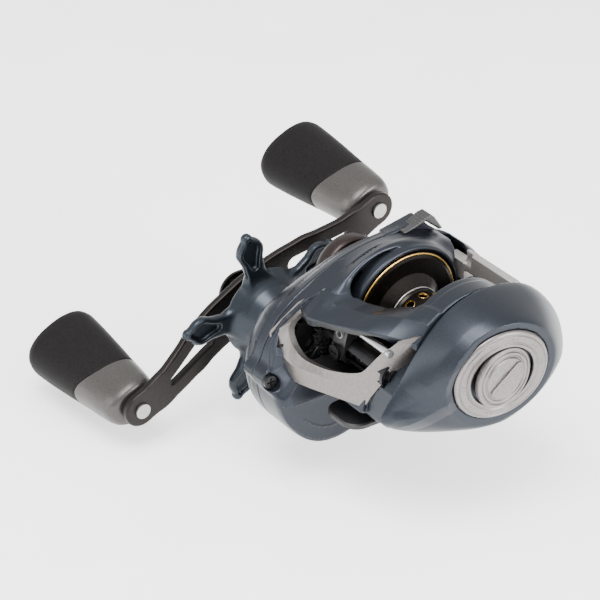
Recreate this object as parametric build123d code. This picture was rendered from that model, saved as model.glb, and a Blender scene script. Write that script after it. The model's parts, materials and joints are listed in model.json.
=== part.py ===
from build123d import *
import os
from math import acos, atan2, cos, degrees, pi, radians, sin, sqrt, tan

os.makedirs("parts", exist_ok=True)

# Millimetres. +X palm side, -X handle side, -Y rod tip, +Y rear, +Z up.
# Pieces are drawn about the spool axis, then lifted so the foot's underside is z = 0.

# --- spool and frame opening
SPOOL_Z = 20.6
FLANGE_R = 17.5
FLANGE_IN = 10.4
FLANGE_OUT = 11.7
ARBOR_R = 8.0
ARBOR_WALL = 0.9
ARBOR_HOLE_R = 1.25
ARBOR_HOLES = 10
BORE_R = 17.95
SHAFT_R = 1.6
FIT = 0.05

# --- gear train
MAIN_TEETH = 54
PINION_TEETH = 10
MODULE = 0.75
DRIVE_TEETH = 24
WORM_TEETH = 16
WIND_MODULE = 0.6
PRESSURE = radians(20)
CENTRES = MODULE * (MAIN_TEETH + PINION_TEETH) / 2
AXIS_Y = -19.6
AXIS_Z = -sqrt(CENTRES ** 2 - AXIS_Y ** 2)
WIND_CENTRES = WIND_MODULE * (DRIVE_TEETH + WORM_TEETH) / 2
WIND_ANGLE = radians(104.0)
WORM_Y = AXIS_Y + WIND_CENTRES * cos(WIND_ANGLE)
WORM_Z = AXIS_Z + WIND_CENTRES * sin(WIND_ANGLE)
MESH_ANGLE = degrees(atan2(-AXIS_Z, -AXIS_Y))

# --- handle side
SEAM_X = -22.0
FLOOR_IN = -12.2
FLOOR_OUT = -14.4
CASE_R = 22.4
COVER_X = -32.6
WALL = 1.4
DRIVE_R = 3.0

# --- palm side
PALM_SEAM = 17.0
PALM_WALL_IN = 12.3
DIAL_R = 9.1
RING_R = 14.3
RIM_R = 19.3
RIM_IN = 9.5
RING_MID = 31.0
RING_LEAN = 5.8
RING_TURN = -10.4
DIAL_FACE = 33.0

# --- crank and knobs
CRANK_HALF = 46.0
CRANK_ANGLE = 26.4
CRANK_END_X = -50.6
CRANK_MID_X = -56.4
CRANK_T = 2.4
CRANK_W = 10.6
POST_R = 2.0
KNOB_IN = -54.2
KNOB_SPLIT = -67.5
KNOB_OUT = -97.0
STAR_R = 28.8
STAR_FIRST = 106.6
STAR_FACE = -50.8
NUT_OUT = -64.0

# --- foot
FOOT_L = 62.0
FOOT_W = 14.0
FOOT_T = 1.5

# --- travel
CLUTCH_TRAVEL = 4.0
GUIDE_LOW = -3.3
GUIDE_HIGH = 13.0


def disc(x0, x1, r, y=0.0, z=0.0):
    return Pos((x0 + x1) / 2, y, z) * Rot(0, 90, 0) * Cylinder(r, abs(x1 - x0))


def tube(x0, x1, outer, inner, y=0.0, z=0.0):
    return disc(x0, x1, outer, y, z) - disc(x0 - 1, x1 + 1, inner, y, z)


def block(x, y, z):
    return Pos((x[0] + x[1]) / 2, (y[0] + y[1]) / 2, (z[0] + z[1]) / 2) * Box(x[1] - x[0], y[1] - y[0], z[1] - z[0])


def slab(face, x0, x1):
    return extrude(Plane.YZ.offset(x0) * face, amount=x1 - x0, dir=(1, 0, 0))


def rounded(points, radius):
    face = Polygon(*points, align=None)
    return fillet(face.vertices(), radius)


def hull_of(*circles):
    shape = Sketch()
    for y, z, r in circles:
        shape += Pos(y, z) * Circle(r)
    return make_hull(shape.edges())


def polar(radius, angle, y=0.0, z=0.0):
    return (y + radius * cos(radians(angle)), z + radius * sin(radians(angle)))


def solid_of(*shapes):
    total = shapes[0]
    for s in shapes[1:]:
        total += s
    return total


def gear_face(teeth, module, tip, root, first, slack):
    pitch = module * teeth / 2
    base = pitch * cos(PRESSURE)
    half = pi / (2 * teeth) - slack / pitch
    low = max(base, root)
    points = []
    for k in range(teeth):
        mid = radians(first) + 2 * pi * k / teeth
        flank = []
        for i in range(4):
            r = low + (tip - low) * i / 3
            a = acos(min(1.0, base / r))
            turn = half + (tan(PRESSURE) - PRESSURE) - (tan(a) - a)
            flank.append((r, turn))
        if root < base:
            flank.insert(0, (root, flank[0][1]))
        for r, turn in flank:
            points.append((r * cos(mid - turn), r * sin(mid - turn)))
        for r, turn in reversed(flank):
            points.append((r * cos(mid + turn), r * sin(mid + turn)))
    return Polygon(*points, align=None)


def handle_outline(inset=0.0):
    """Egg of the handle-side walls joined to the round gear case hanging in front."""
    points = [(-37.5, -0.5), (-29.5, 8.2), (-16, 14.8), (-3, 17.6), (8, 17.6), (22, 13.6), (31, 6)]
    points += [(30, -6), (18, -16.5), (2, -20.0), (-19, -20.0), (-34, -16)]
    egg = rounded(points, 4.0)
    if inset:
        egg = offset(egg, amount=-inset)
    case = hull_of((AXIS_Y, AXIS_Z, CASE_R - inset), (-22.4, -23.4, 13.2 - inset))
    return egg + case


def ear(y, z, radius):
    """Screw ear: a round lug tied back to the wall."""
    reach = sqrt((y + 12) ** 2 + (z + 10) ** 2)
    back = (y - 4.0 * (y + 12) / reach, z - 4.0 * (z + 10) / reach)
    return hull_of((y, z, radius), (back[0], back[1], radius + 1.4))


def palm_points(scale, y0, z0):
    shape = [(-31.0, -11.6), (-21.4, 3.8), (-10.0, 16.7), (8.0, 20.3), (22.0, 14.6), (30.4, 0.6)]
    shape += [(23.0, -13.0), (6.0, -19.9), (-12.0, -19.8), (-26.0, -16.4)]
    return [(y0 + scale * (y - y0), z0 + scale * (z - z0)) for y, z in shape]


def palm_face(scale, y0=0.0, z0=0.0):
    return make_face(Spline(*palm_points(scale, y0, z0), periodic=True))


# ------------------------------------------------------------------ frame

def guide_sweep(gap):
    """Room that the line guide passes through over its whole travel."""
    profile = hull_of((WORM_Y, WORM_Z, GUIDE_R + gap), (WORM_Y - 1.2, WORM_Z + EYE_UP, 2.6 + gap))
    profile += hull_of((WORM_Y, WORM_Z + 6.0, 1.8 + gap), (GUIDE_Y, GUIDE_Z, 1.8 + gap))
    start = GUIDE_X - GUIDE_HALF + GUIDE_LOW - gap
    end = GUIDE_X + GUIDE_HALF + GUIDE_HIGH + gap
    room = slab(profile, start, end)
    return room + block((start, end), (WORM_Y - 6.4, WORM_Y), (WORM_Z - 2.3 - gap, WORM_Z + 2.3 + gap))


def front_trim():
    """Cast trim round the line window: up the left, across the bottom and up to the palm seam."""
    face = [(-19.5, 8.6), (-21.6, -0.8), (-19.0, -7.0), (-13.4, -13.0), (8.4, -12.6), (14.6, 0.4), (17.0, 11.0)]
    face += [(13.4, 10.4), (9.6, 1.6), (3.6, -5.0), (-9.0, -6.0), (-15.6, -2.6), (-17.6, 3.6), (-16.6, 8.6)]
    outline = Plane.XZ.offset(50) * rounded(face, 0.8)
    front = extrude(outline, amount=60, dir=(0, 1, 0))
    plan = [(-22.0, -39.2), (-13.0, -36.6), (-4.0, -33.2), (8.0, -29.6), (13.0, -25.6), (17.0, -16.6)]
    plan += [(14.4, -15.6), (10.8, -23.4), (6.6, -26.8), (-4.6, -30.4), (-13.6, -33.6), (-19.0, -35.2), (-19.0, -30.0)]
    plan += [(-21.0, -29.6)]
    shell = extrude(Pos(0, 0, -20) * Polygon(*plan, align=None), amount=40, dir=(0, 0, 1))
    band = front & shell
    band -= disc(-40, 40, BORE_R + 0.5) + slab(gear_room(), SEAM_X - 2, EAR_X + 0.6)
    band -= disc(EAR_X - 8, 0, 2.4, *COVER_SCREWS[0])
    band -= disc(0, PALM_WALL_IN + 1.2, 3.9, WORM_Y, WORM_Z) + disc(0, PALM_WALL_IN + 1.4, 1.2, GUIDE_Y, GUIDE_Z)
    return band - front_hood() - guide_sweep(0.35)


def hood_section(x, front, fold, back, rise):
    points = [(front + 0.4, fold - 2.4), (front, fold), (back, rise), (back, rise - 1.6)]
    points += [(front + 1.7, fold - 1.3), (front + 1.7, fold - 2.4)]
    return Plane.YZ.offset(x) * Polygon(*points, align=None)


def front_hood():
    """Roof over the level wind, with its front edge folded down."""
    rows = [(SEAM_X + 0.4, -28.6, 6.2, -16.0, 14.8), (-14.0, -31.7, 6.2, -19.0, 12.2), (-5.0, -30.6, 8.0, -18.4, 10.4)]
    rows += [(5.0, -26.4, 9.4, -13.6, 12.8), (12.0, -22.4, 9.5, -12.4, 15.4), (PALM_SEAM, -18.9, 9.2, -11.0, 16.6)]
    roof = loft([hood_section(*row) for row in rows], ruled=True)
    roof -= disc(-60, 60, BORE_R + 0.35)
    roof -= disc(RIM_IN - 0.05, PALM_SEAM + 1, RIM_R + 0.05)
    roof -= disc(-40, FLOOR_IN + 2.05, RIM_R + 0.15)
    roof -= slab(handle_outline(-0.1), -40, FLOOR_IN + 0.05)
    return roof - guide_sweep(0.35)


def main_frame():
    """One casting: two side walls, the spool cradle, the rear bar and the front bar."""
    outline = handle_outline()
    wall = slab(outline, SEAM_X, FLOOR_IN) + disc(FLOOR_OUT, FLOOR_IN + 2.0, RIM_R + 0.1)
    wall -= slab(handle_outline(WALL), SEAM_X - 1, FLOOR_OUT)
    wall -= slab(gear_room(), SEAM_X - 1, EAR_X)
    wall -= disc(-12.2, 0, BORE_R)
    palm = slab(hull_of((0, 0, RIM_R), (-24.6, -10.6, 4.6)), PALM_WALL_IN, PALM_SEAM)
    palm += disc(RIM_IN, PALM_WALL_IN, RIM_R)
    palm -= disc(RIM_IN - 1, PALM_SEAM + 1, BORE_R)
    cradle = block((FLOOR_OUT + 1, PALM_WALL_IN + 1), (-16.2, 16.2), (-19.1, -9.5)) - disc(-40, 40, BORE_R)
    rear = slab(rounded([(19.6, -8.6), (26.4, -7.6), (27.4, 1.0), (20.4, 1.2)], 1.2), FLOOR_OUT + 1, PALM_WALL_IN + 1)
    web = slab(rounded([(11.0, -17.6), (25.4, -11.0), (25.8, -6.0), (19.6, -4.2), (14.0, -10.4)], 1.0),
               FLOOR_OUT + 1, PALM_WALL_IN + 1)
    rear = rear + web - disc(-40, 40, BORE_R)
    rear += tube(PALM_WALL_IN, PALM_SEAM, 3.0, 1.0, 22.0, -2.0) - disc(0, 60, BORE_R)
    front = slab(rounded([(-29.4, -14.6), (-16.0, -19.1), (-14.0, -19.1), (-14.6, -14.6), (-27.6, -9.4)], 0.9),
                 FLOOR_OUT + 1, PALM_WALL_IN + 1)
    front -= disc(-40, 40, BORE_R)
    body = wall + palm + cradle + rear + front
    body -= block((-60, 60), (-60, 60), (-60, -19.1)) & block((FLOOR_IN, 60), (-60, 60), (-60, 0))
    for y, z in COVER_SCREWS:
        body += slab(ear(y, z, 2.9), EAR_X, FLOOR_OUT)
        body += slab(ear(y, z, 2.7), SEAM_X, EAR_X) - slab(gear_room(), SEAM_X - 1, EAR_X + 1)
        body -= disc(SEAM_X - 1, EAR_X + 1, 1.0, y, z)
        body -= disc(EAR_X, 0, 2.3, y, z)
    body -= disc(EAR_X, FLOOR_OUT, 5.8, WORM_Y, WORM_Z)
    body -= disc(FLOOR_OUT - 1, 0, 7.0)
    body -= disc(FLOOR_OUT - 1, FLOOR_IN - 0.4, 4.0, AXIS_Y, AXIS_Z)
    body -= disc(FLOOR_OUT - 1, PALM_WALL_IN + 1.2, 2.1, WORM_Y, WORM_Z)
    body -= disc(FLOOR_OUT - 1, PALM_WALL_IN, 3.9, WORM_Y, WORM_Z)
    body -= disc(FLOOR_OUT - 1, PALM_WALL_IN + 1.2, 1.1, GUIDE_Y, GUIDE_Z)
    body -= block((SEAM_X, -9), (18.4, 23.6), (CLUTCH_LOW - CLUTCH_TRAVEL - 0.4, 14.0))
    body -= block((PALM_WALL_IN - 1, PALM_SEAM - 1.5), (18.4, 23.6), (-2.0, 14.6))
    for y, z in YOKE_PINS:
        body -= disc(FLOOR_OUT - 1, FLOOR_IN - 0.4, 1.0, y, z)
    for y in FOOT_SCREW_Y:
        body -= Pos(0, y, -17.0) * Cylinder(0.95, 5.0)
    return body - front_trim() - front_hood() - guide_sweep(0.25)


def gear_room():
    return Pos(AXIS_Y, AXIS_Z) * Circle(21.2)


GUIDE_Y = -24.6
GUIDE_Z = 5.8
CLUTCH_LOW = 4.0
COVER_SCREWS = [(-41.9, -12.6), (28.4, 3.2), (0.2, -25.0)]
EAR_X = -17.0
FOOT_SCREW_Y = [-14.2, 14.2]
YOKE_PINS = [polar(9.4, MESH_ANGLE + 76), polar(9.4, MESH_ANGLE - 76)]


def reel_foot():
    """Rod seat foot: thin rounded tongues front and rear, flat underside, two screw holes."""
    plan = RectangleRounded(FOOT_W, FOOT_L, 5.0)
    plate = extrude(Pos(0, 0, -SPOOL_Z) * plan, amount=FOOT_T)
    plate = chamfer(plate.faces().sort_by(Axis.Z)[-1].edges(), 0.4)
    for y in FOOT_SCREW_Y:
        plate -= Pos(0, y, -SPOOL_Z) * Cylinder(1.1, 6.0)
        plate -= Pos(0, y, -SPOOL_Z + 0.35) * Cone(2.1, 1.1, 0.7)
        plate -= Pos(0, y, -SPOOL_Z - 0.5) * Cylinder(2.1, 1.0)
    return plate


def foot_screws():
    screws = []
    for y in FOOT_SCREW_Y:
        head = Pos(0, y, -SPOOL_Z + 0.38) * Cone(1.95, 1.0, 0.66)
        shank = Pos(0, y, -SPOOL_Z + 3.0) * Cylinder(0.9, 4.6)
        slot = block((-1.2, 1.2), (y - 0.2, y + 0.2), (-SPOOL_Z - 1, -SPOOL_Z + 0.5))
        screws.append(head + shank - slot)
    return solid_of(*screws)


# ------------------------------------------------------------------ handle side cover

DOME_X = -26.4
DOME_STEPS = 6
DOME_INSET = 6.0


def handle_side_plate():
    """Domed gear cover with bosses for the handle bearing and the cast control."""
    shell = slab(handle_outline(), DOME_X, SEAM_X)
    inside = slab(handle_outline(WALL), DOME_X + 0.4, SEAM_X + 1) + slab(gear_room(), -24.0, SEAM_X + 1)
    step = (COVER_X - DOME_X) / DOME_STEPS
    for k in range(DOME_STEPS):
        inset = DOME_INSET * (1 - sqrt(1 - ((k + 0.6) / DOME_STEPS) ** 2))
        x = DOME_X + k * step
        shell += slab(handle_outline(inset), x + step, x)
        inside += slab(handle_outline(inset + WALL), x + step + WALL, x + WALL)
    shell -= inside
    shell += disc(-36.4, -28.0, 9.2, AXIS_Y, AXIS_Z)
    shell += disc(-37.8, -29.0, 7.6)
    shell -= disc(-33.6, -27.0, 7.5, AXIS_Y, AXIS_Z)
    shell -= disc(-40, -20, 5.4, AXIS_Y, AXIS_Z)
    shell -= disc(-31.6, -28.0, 4.0)
    shell -= disc(-38, -27.0, 2.6)
    for y, z in YOKE_PINS:
        shell += tube(-31.0, -28.8, 2.2, 1.0, y, z)
    for y, z in COVER_SCREWS:
        shell += slab(ear(y, z, 2.7), -27.0, SEAM_X) - slab(gear_room(), -28.0, SEAM_X + 1)
        shell -= disc(-26.2, SEAM_X + 1, 0.95, y, z)
    rest = block((-27.4, -18.5), (0.6, 20.4), (8.0, 22.0)) & lever_bed()
    shell += rest & block((-27.4, SEAM_X), (0, 22), (8, 22))
    return shell


def lever_bed():
    profile = [(2.4, 12.0), (2.4, 17.6), (13.4, 19.4), (18.0, 14.5), (18.0, 12.0)]
    return slab(Polygon(*profile, align=None), -27.0, SEAM_X)


def cover_screws():
    screws = []
    for y, z in COVER_SCREWS:
        head = disc(EAR_X, EAR_X + 1.2, 1.95, y, z)
        shank = disc(-26.0, EAR_X + 0.2, 0.9, y, z)
        cross = block((EAR_X + 0.6, EAR_X + 2), (y - 1.3, y + 1.3), (z - 0.22, z + 0.22))
        cross += block((EAR_X + 0.6, EAR_X + 2), (y - 0.22, y + 0.22), (z - 1.3, z + 1.3))
        screws.append(head + shank - cross)
    return solid_of(*screws)


def flipping_switch():
    """Ribbed thumb slider riding on the cover's rear shoulder."""
    profile = [(1.6, 18.5), (7.0, 18.9), (14.6, 21.3), (16.0, 20.9), (20.1, 15.2), (18.8, 15.0), (13.8, 20.0), (2.0, 17.9)]
    body = slab(Polygon(*profile, align=None), -25.2, -19.8)
    for k in range(6):
        y = 6.2 + 1.5 * k
        body -= Pos(-23.4, y, 19.75 + 0.274 * (y - 4.6)) * Rot(0, 90, 0) * Cylinder(0.3, 8.0)
    return body


# ------------------------------------------------------------------ bearings and small fixed pieces

def ball_bearing(x0, x1, outer, inner, y=0.0, z=0.0, balls=7):
    mid = (outer + inner) / 2
    gap = (outer - inner) * 0.18
    ball_r = min((x1 - x0) * 0.42, gap * 1.6)
    rings = tube(x0, x1, outer, mid + gap, y, z) + tube(x0, x1, mid - gap, inner, y, z)
    centre = (x0 + x1) / 2
    for k in range(balls):
        by, bz = polar(mid, 360 * k / balls, y, z)
        rings += Pos(centre, by, bz) * Sphere(ball_r)
    return rings


def anti_reverse_bearing():
    """One-way roller clutch: outer race with rollers around the sleeve."""
    shape = tube(-33.5, -27.2, 7.45, 6.0, AXIS_Y, AXIS_Z)
    for k in range(8):
        y, z = polar(5.72, 45 * k, AXIS_Y, AXIS_Z)
        shape += disc(-33.0, -27.7, 0.6, y, z)
    return shape


def yoke_guide_pins():
    pins = []
    for y, z in YOKE_PINS:
        pins.append(disc(-30.2, FLOOR_IN - 0.5, 0.95, y, z))
    return solid_of(*pins)


def yoke_springs():
    """Light coil springs behind the yoke, drawn at the length they have when the bar is down."""
    springs = []
    for y, z in YOKE_PINS:
        path = Helix(pitch=0.42, height=1.05, radius=1.5)
        wire = sweep(Plane(origin=path @ 0, z_dir=path % 0) * Circle(0.14), path=path)
        springs.append(Pos(-28.55, y, z) * Rot(0, 90, 0) * wire)
    return solid_of(*springs)


def worm_tube():
    """Guard tube around the worm, slotted underneath for the pawl."""
    shell = tube(FLOOR_OUT, PALM_WALL_IN, 3.8, 3.1, WORM_Y, WORM_Z)
    slot = block((FLOOR_IN + 1, PALM_WALL_IN - 1), (WORM_Y - 4, WORM_Y - 0.6), (WORM_Z - 1.4, WORM_Z + 1.4))
    return shell - slot


def guide_rod():
    return disc(FLOOR_OUT + 0.2, PALM_WALL_IN + 1.1, 1.05, GUIDE_Y, GUIDE_Z)


# ------------------------------------------------------------------ level wind

def worm_shaft():
    """Cross-threaded shaft: two helical grooves of opposite hand."""
    core = disc(FLOOR_OUT + 0.1, PALM_WALL_IN - 0.1, 2.6, WORM_Y, WORM_Z)
    core += disc(-16.4, FLOOR_OUT + 0.5, 1.5, WORM_Y, WORM_Z)
    core += disc(PALM_WALL_IN - 0.2, PALM_WALL_IN + 1.1, 2.05, WORM_Y, WORM_Z)
    for hand, start in ((False, -9.9), (True, -9.4)):
        path = Helix(pitch=6.6, height=19.0, radius=2.7, lefthand=hand)
        cutter = sweep(Plane(origin=path @ 0, z_dir=path % 0) * Circle(0.62), path=path)
        core -= Pos(start, WORM_Y, WORM_Z) * Rot(0, 90, 0) * cutter
    return core


def worm_gear():
    pitch = WIND_MODULE * WORM_TEETH / 2
    first = degrees(WIND_ANGLE) + 180 + 180 / WORM_TEETH
    face = Pos(WORM_Y, WORM_Z) * gear_face(WORM_TEETH, WIND_MODULE, pitch + 0.5, pitch - 0.68, first, 0.07)
    wheel = slab(face, -16.3, -15.0)
    for k in range(5):
        y, z = polar(3.4, 72 * k, WORM_Y, WORM_Z)
        wheel -= disc(-17, -14, 0.8, y, z)
    return wheel - disc(-17, -14, 1.5, WORM_Y, WORM_Z)


GUIDE_X = -6.0
GUIDE_HALF = 2.6
GUIDE_R = 4.6
EYE_UP = 5.2


def line_guide():
    """Carriage on the worm tube and rod, with the line eye in front."""
    low = GUIDE_X - GUIDE_HALF
    high = GUIDE_X + GUIDE_HALF
    body = slab(hull_of((WORM_Y, WORM_Z, GUIDE_R), (WORM_Y - 1.2, WORM_Z + EYE_UP, 2.6)), low, high)
    body += slab(hull_of((WORM_Y, WORM_Z + 6.0, 1.8), (GUIDE_Y, GUIDE_Z, 1.8)), low, high)
    body += block((GUIDE_X - 2.2, GUIDE_X + 2.2), (WORM_Y - 5.0, WORM_Y), (WORM_Z - 1.8, WORM_Z + 1.8))
    body -= disc(-40, 40, 3.8 + FIT, WORM_Y, WORM_Z)
    body -= disc(-40, 40, 1.05 + FIT, GUIDE_Y, GUIDE_Z)
    body -= Pos(GUIDE_X, WORM_Y, WORM_Z + EYE_UP) * Rot(90, 0, 0) * Cylinder(1.3, 30.0)
    body -= Pos(GUIDE_X, WORM_Y - 4, WORM_Z) * Rot(90, 0, 0) * Cylinder(1.25, 12.0)
    return body


def line_guide_insert():
    ring = Cylinder(1.3, 7.0) - Cylinder(0.95, 10.0)
    return Pos(GUIDE_X, WORM_Y - 0.9, WORM_Z + EYE_UP) * Rot(90, 0, 0) * ring


def worm_pawl():
    """Pawl with its round cap; the tongue rides in the worm's groove."""
    stem = Pos(GUIDE_X, WORM_Y - 3.9, WORM_Z) * Rot(90, 0, 0) * Cylinder(1.2, 2.6)
    cap = Pos(GUIDE_X, WORM_Y - 5.6, WORM_Z) * Rot(90, 0, 0) * Cylinder(2.1, 0.9)
    slot = block((GUIDE_X - 1.3, GUIDE_X + 1.3), (WORM_Y - 6.2, WORM_Y - 5.7), (WORM_Z - 0.25, WORM_Z + 0.25))
    return stem + cap - slot


# ------------------------------------------------------------------ spool group

def spool():
    half = [(-FLANGE_OUT, 3.0), (-FLANGE_OUT, FLANGE_R - 0.6), (-FLANGE_OUT + 0.6, FLANGE_R)]
    half += [(-FLANGE_IN, FLANGE_R), (-FLANGE_IN + 0.5, FLANGE_R - 1.6), (-FLANGE_IN + 0.6, 11.4)]
    half += [(-6.8, ARBOR_R + 0.5), (-5.6, ARBOR_R)]
    mirrored = [(-x, r) for x, r in reversed(half)]
    face = Plane.XY * Polygon(*(half + mirrored), align=None)
    body = revolve(face, Axis.X)
    inner = [(-FLANGE_OUT - 1, 3.4), (-FLANGE_OUT - 1, 15.6), (-FLANGE_OUT + 0.3, 15.6)]
    inner += [(-FLANGE_IN - 0.2, 11.8), (-7.4, ARBOR_R - 0.3), (-6.0, ARBOR_R - ARBOR_WALL), (-1.2, ARBOR_R - ARBOR_WALL)]
    inner += [(-1.2, 3.4)]
    hollow = revolve(Plane.XY * Polygon(*inner, align=None), Axis.X)
    body -= hollow
    body -= mirror(hollow, about=Plane.YZ)
    body -= disc(-20, 20, SHAFT_R)
    for k in range(ARBOR_HOLES):
        for x, shift in ((-3.4, 0), (3.4, 0.5)):
            a = 360 * (k + shift) / ARBOR_HOLES
            drill = Pos(x, 0, 0) * Rot(a, 0, 0) * Pos(0, 0, ARBOR_R) * Cylinder(ARBOR_HOLE_R, 4.0)
            body -= drill
    return body


def spool_shaft():
    shape = disc(-36.6, 17.4, SHAFT_R)
    shape -= Pos(-13.4, 0, 0) * Rot(90, 0, 0) * Cylinder(0.7, 8.0)
    return chamfer(shape.edges().filter_by(GeomType.CIRCLE).group_by(Axis.X)[-1], 0.4)


def spool_cross_pin():
    return Pos(-13.4, 0, 0) * Rot(90, 0, 0) * Cylinder(0.7, 7.0)


def brake_rotor():
    """Thin aluminium cup on the spool that turns between the brake magnets."""
    cup = disc(FLANGE_OUT + 0.1, FLANGE_OUT + 0.8, 10.6) + tube(FLANGE_OUT + 0.1, FLANGE_OUT + 2.6, 10.6, 9.8)
    hub = disc(FLANGE_OUT + 0.05, FLANGE_OUT + 0.8, 3.3)
    return cup + hub - disc(0, 30, SHAFT_R)


def pinion_gear():
    """Sliding pinion: teeth, a yoke groove and a slotted end that takes the spool's cross pin."""
    pitch = MODULE * PINION_TEETH / 2
    first = MESH_ANGLE + 180 / PINION_TEETH
    teeth = slab(gear_face(PINION_TEETH, MODULE, pitch + 0.6, pitch - 0.9, first, 0.08), -23.6, -15.2)
    body = teeth + disc(-23.7, -15.2, 2.6) + disc(-25.4, -23.6, 2.9) + disc(-26.4, -25.3, 4.2)
    body += disc(-15.3, -12.4, 4.4)
    body -= disc(-30, 0, SHAFT_R + FIT)
    body -= block((-14.5, -11.0), (-5, 5), (-0.76, 0.76))
    return body


# ------------------------------------------------------------------ clutch

def clutch_yoke():
    """Fork in the pinion's groove, sliding on two pins."""
    first, second = YOKE_PINS
    face = hull_of((first[0], first[1], 2.4), (0, 0, 6.0), (second[0], second[1], 2.4))
    for y, z in YOKE_PINS:
        face -= Pos(y, z) * Circle(0.95 + FIT)
    face -= Pos(0, 0) * Circle(2.9 + FIT)
    away = polar(8, MESH_ANGLE)
    face -= make_hull((Circle(2.9 + FIT) + Pos(*away) * Circle(2.9 + FIT)).edges())
    return slab(face, -25.2, -24.2)


def thumb_bar():
    """Free-spool bar between the walls, with a foot at each end running in the wall slots."""
    profile = [(19.6, 6.2), (20.2, 13.4), (21.4, 13.6), (24.4, 10.4), (24.3, 8.6), (22.0, 6.0)]
    bar = slab(rounded(profile, 0.5), -9.8, PALM_WALL_IN - 0.4)
    bar += block((FLOOR_OUT - 2.4, -9.7), (19.0, 23.0), (CLUTCH_LOW, 9.6))
    bar += block((PALM_WALL_IN - 0.5, PALM_SEAM - 2.0), (19.0, 23.0), (3.0, 9.6))
    return bar


def clutch_cam():
    """Plate moved by the thumb bar; its ramps lift the yoke off the spool."""
    plate = block((FLOOR_OUT - 3.6, FLOOR_OUT - 2.4), (6.6, 23.0), (CLUTCH_LOW, 8.6))
    arm = block((-24.0, FLOOR_OUT - 3.6), (12.0, 16.0), (CLUTCH_LOW, 8.6))
    tongue = block((-24.0, -22.8), (5.6, 16.0), (CLUTCH_LOW, 8.6))
    return plate + arm + tongue


# ------------------------------------------------------------------ drive train on the handle axis

def drive_shaft():
    shape = disc(FLOOR_OUT - 0.1, -60.6, DRIVE_R, AXIS_Y, AXIS_Z)
    shape += disc(FLOOR_IN - 0.5, FLOOR_OUT - 0.2, 1.95, AXIS_Y, AXIS_Z)
    shape += disc(-17.2, -16.6, 9.0, AXIS_Y, AXIS_Z)
    flats = block((CRANK_MID_X - CRANK_T - 0.1, -50.0), (AXIS_Y - 4, AXIS_Y + 4), (AXIS_Z + 2.4, AXIS_Z + 4))
    flats += block((CRANK_MID_X - CRANK_T - 0.1, -50.0), (AXIS_Y - 4, AXIS_Y + 4), (AXIS_Z - 4, AXIS_Z - 2.4))
    return shape - flats


def levelwind_drive_gear():
    pitch = WIND_MODULE * DRIVE_TEETH / 2
    face = Pos(AXIS_Y, AXIS_Z) * gear_face(
        DRIVE_TEETH, WIND_MODULE, pitch + 0.5, pitch - 0.68, degrees(WIND_ANGLE), 0.07)
    return slab(face, -16.3, -15.0) - disc(-17, -14, DRIVE_R, AXIS_Y, AXIS_Z)


def main_gear():
    """Drive gear, lightened, with a recess for the drag stack."""
    pitch = MODULE * MAIN_TEETH / 2
    face = gear_face(MAIN_TEETH, MODULE, pitch + 0.4, pitch - 0.8, MESH_ANGLE, 0.08)
    wheel = slab(Pos(AXIS_Y, AXIS_Z) * face, -20.6, -17.3)
    wheel -= disc(-21, -18.6, 16.8, AXIS_Y, AXIS_Z)
    for k in range(8):
        y, z = polar(11.6, 45 * k, AXIS_Y, AXIS_Z)
        wheel -= disc(-30, 0, 1.6, y, z)
    return wheel - disc(-30, 0, DRIVE_R, AXIS_Y, AXIS_Z)


def drag_washers():
    """Two friction discs either side of a metal plate."""
    stack = []
    for x0, x1, r in ((-19.3, -18.65, 16.2), (-19.9, -19.35, 16.4), (-20.55, -19.95, 16.2)):
        stack.append(tube(x0, x1, r, DRIVE_R, AXIS_Y, AXIS_Z))
    return solid_of(*stack)


def drag_pressure_plate():
    plate = tube(-21.6, -20.6, 15.6, DRIVE_R, AXIS_Y, AXIS_Z)
    for k in range(3):
        y, z = polar(10.0, 120 * k + 30, AXIS_Y, AXIS_Z)
        plate -= disc(-30, 0, 2.4, y, z)
    return plate


def ratchet_wheel():
    points = []
    for k in range(12):
        points.append(polar(12.0, 30 * k, AXIS_Y, AXIS_Z))
        points.append(polar(10.2, 30 * k + 22, AXIS_Y, AXIS_Z))
    return slab(Polygon(*points, align=None), -17.25, -16.65) - disc(-30, 0, 9.0, AXIS_Y, AXIS_Z)


def anti_reverse_sleeve():
    return tube(-37.0, -21.65, 5.05, DRIVE_R, AXIS_Y, AXIS_Z)


def drag_spring_washers():
    """Pair of cupped spring washers, back to back."""
    cups = []
    for x0, x1 in ((-38.0, -37.1), (-38.1, -39.0)):
        cone = [(x0, DRIVE_R), (x0, DRIVE_R + 0.5), (x1, 6.4), (x1 + (x0 - x1) * 0.4, 6.6), (x0 + (x1 - x0) * 0.6, DRIVE_R)]
        face = Plane.XY * Polygon(*cone, align=None)
        cups.append(Pos(0, AXIS_Y, AXIS_Z) * revolve(face, Axis.X))
    return solid_of(*cups)


def star_drag():
    """Five-armed wheel, coned towards the handle, threaded on the drive shaft."""
    cone = [(-39.3, DRIVE_R + 0.3), (-39.3, 8.0), (-42.6, 8.8), (-48.0, 12.8), (-50.2, 14.2), (-50.2, 9.6)]
    cone += [(-46.6, 6.0), (-48.6, 5.6), (-48.6, DRIVE_R + 0.3)]
    hub = revolve(Plane.XY * Polygon(*cone, align=None), Axis.X)
    for k in range(5):
        a = STAR_FIRST + 72 * k
        neck = (*polar(13.0, a), 3.4)
        waist = (*polar(17.6, a), 3.0)
        belly = (*polar(22.8, a), 4.3)
        tip = (*polar(STAR_R - 1.8, a), 1.8)
        arm = hull_of(neck, waist) + hull_of(waist, belly) + hull_of(belly, tip)
        hollow = hull_of((*polar(17.4, a), 1.4), (*polar(22.6, a), 2.8), (*polar(25.6, a), 1.2))
        hub += slab(arm, STAR_FACE, STAR_FACE + 2.6) - slab(hollow, STAR_FACE + 1.4, STAR_FACE + 3.0)
    return Pos(0, AXIS_Y, AXIS_Z) * hub


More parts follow.
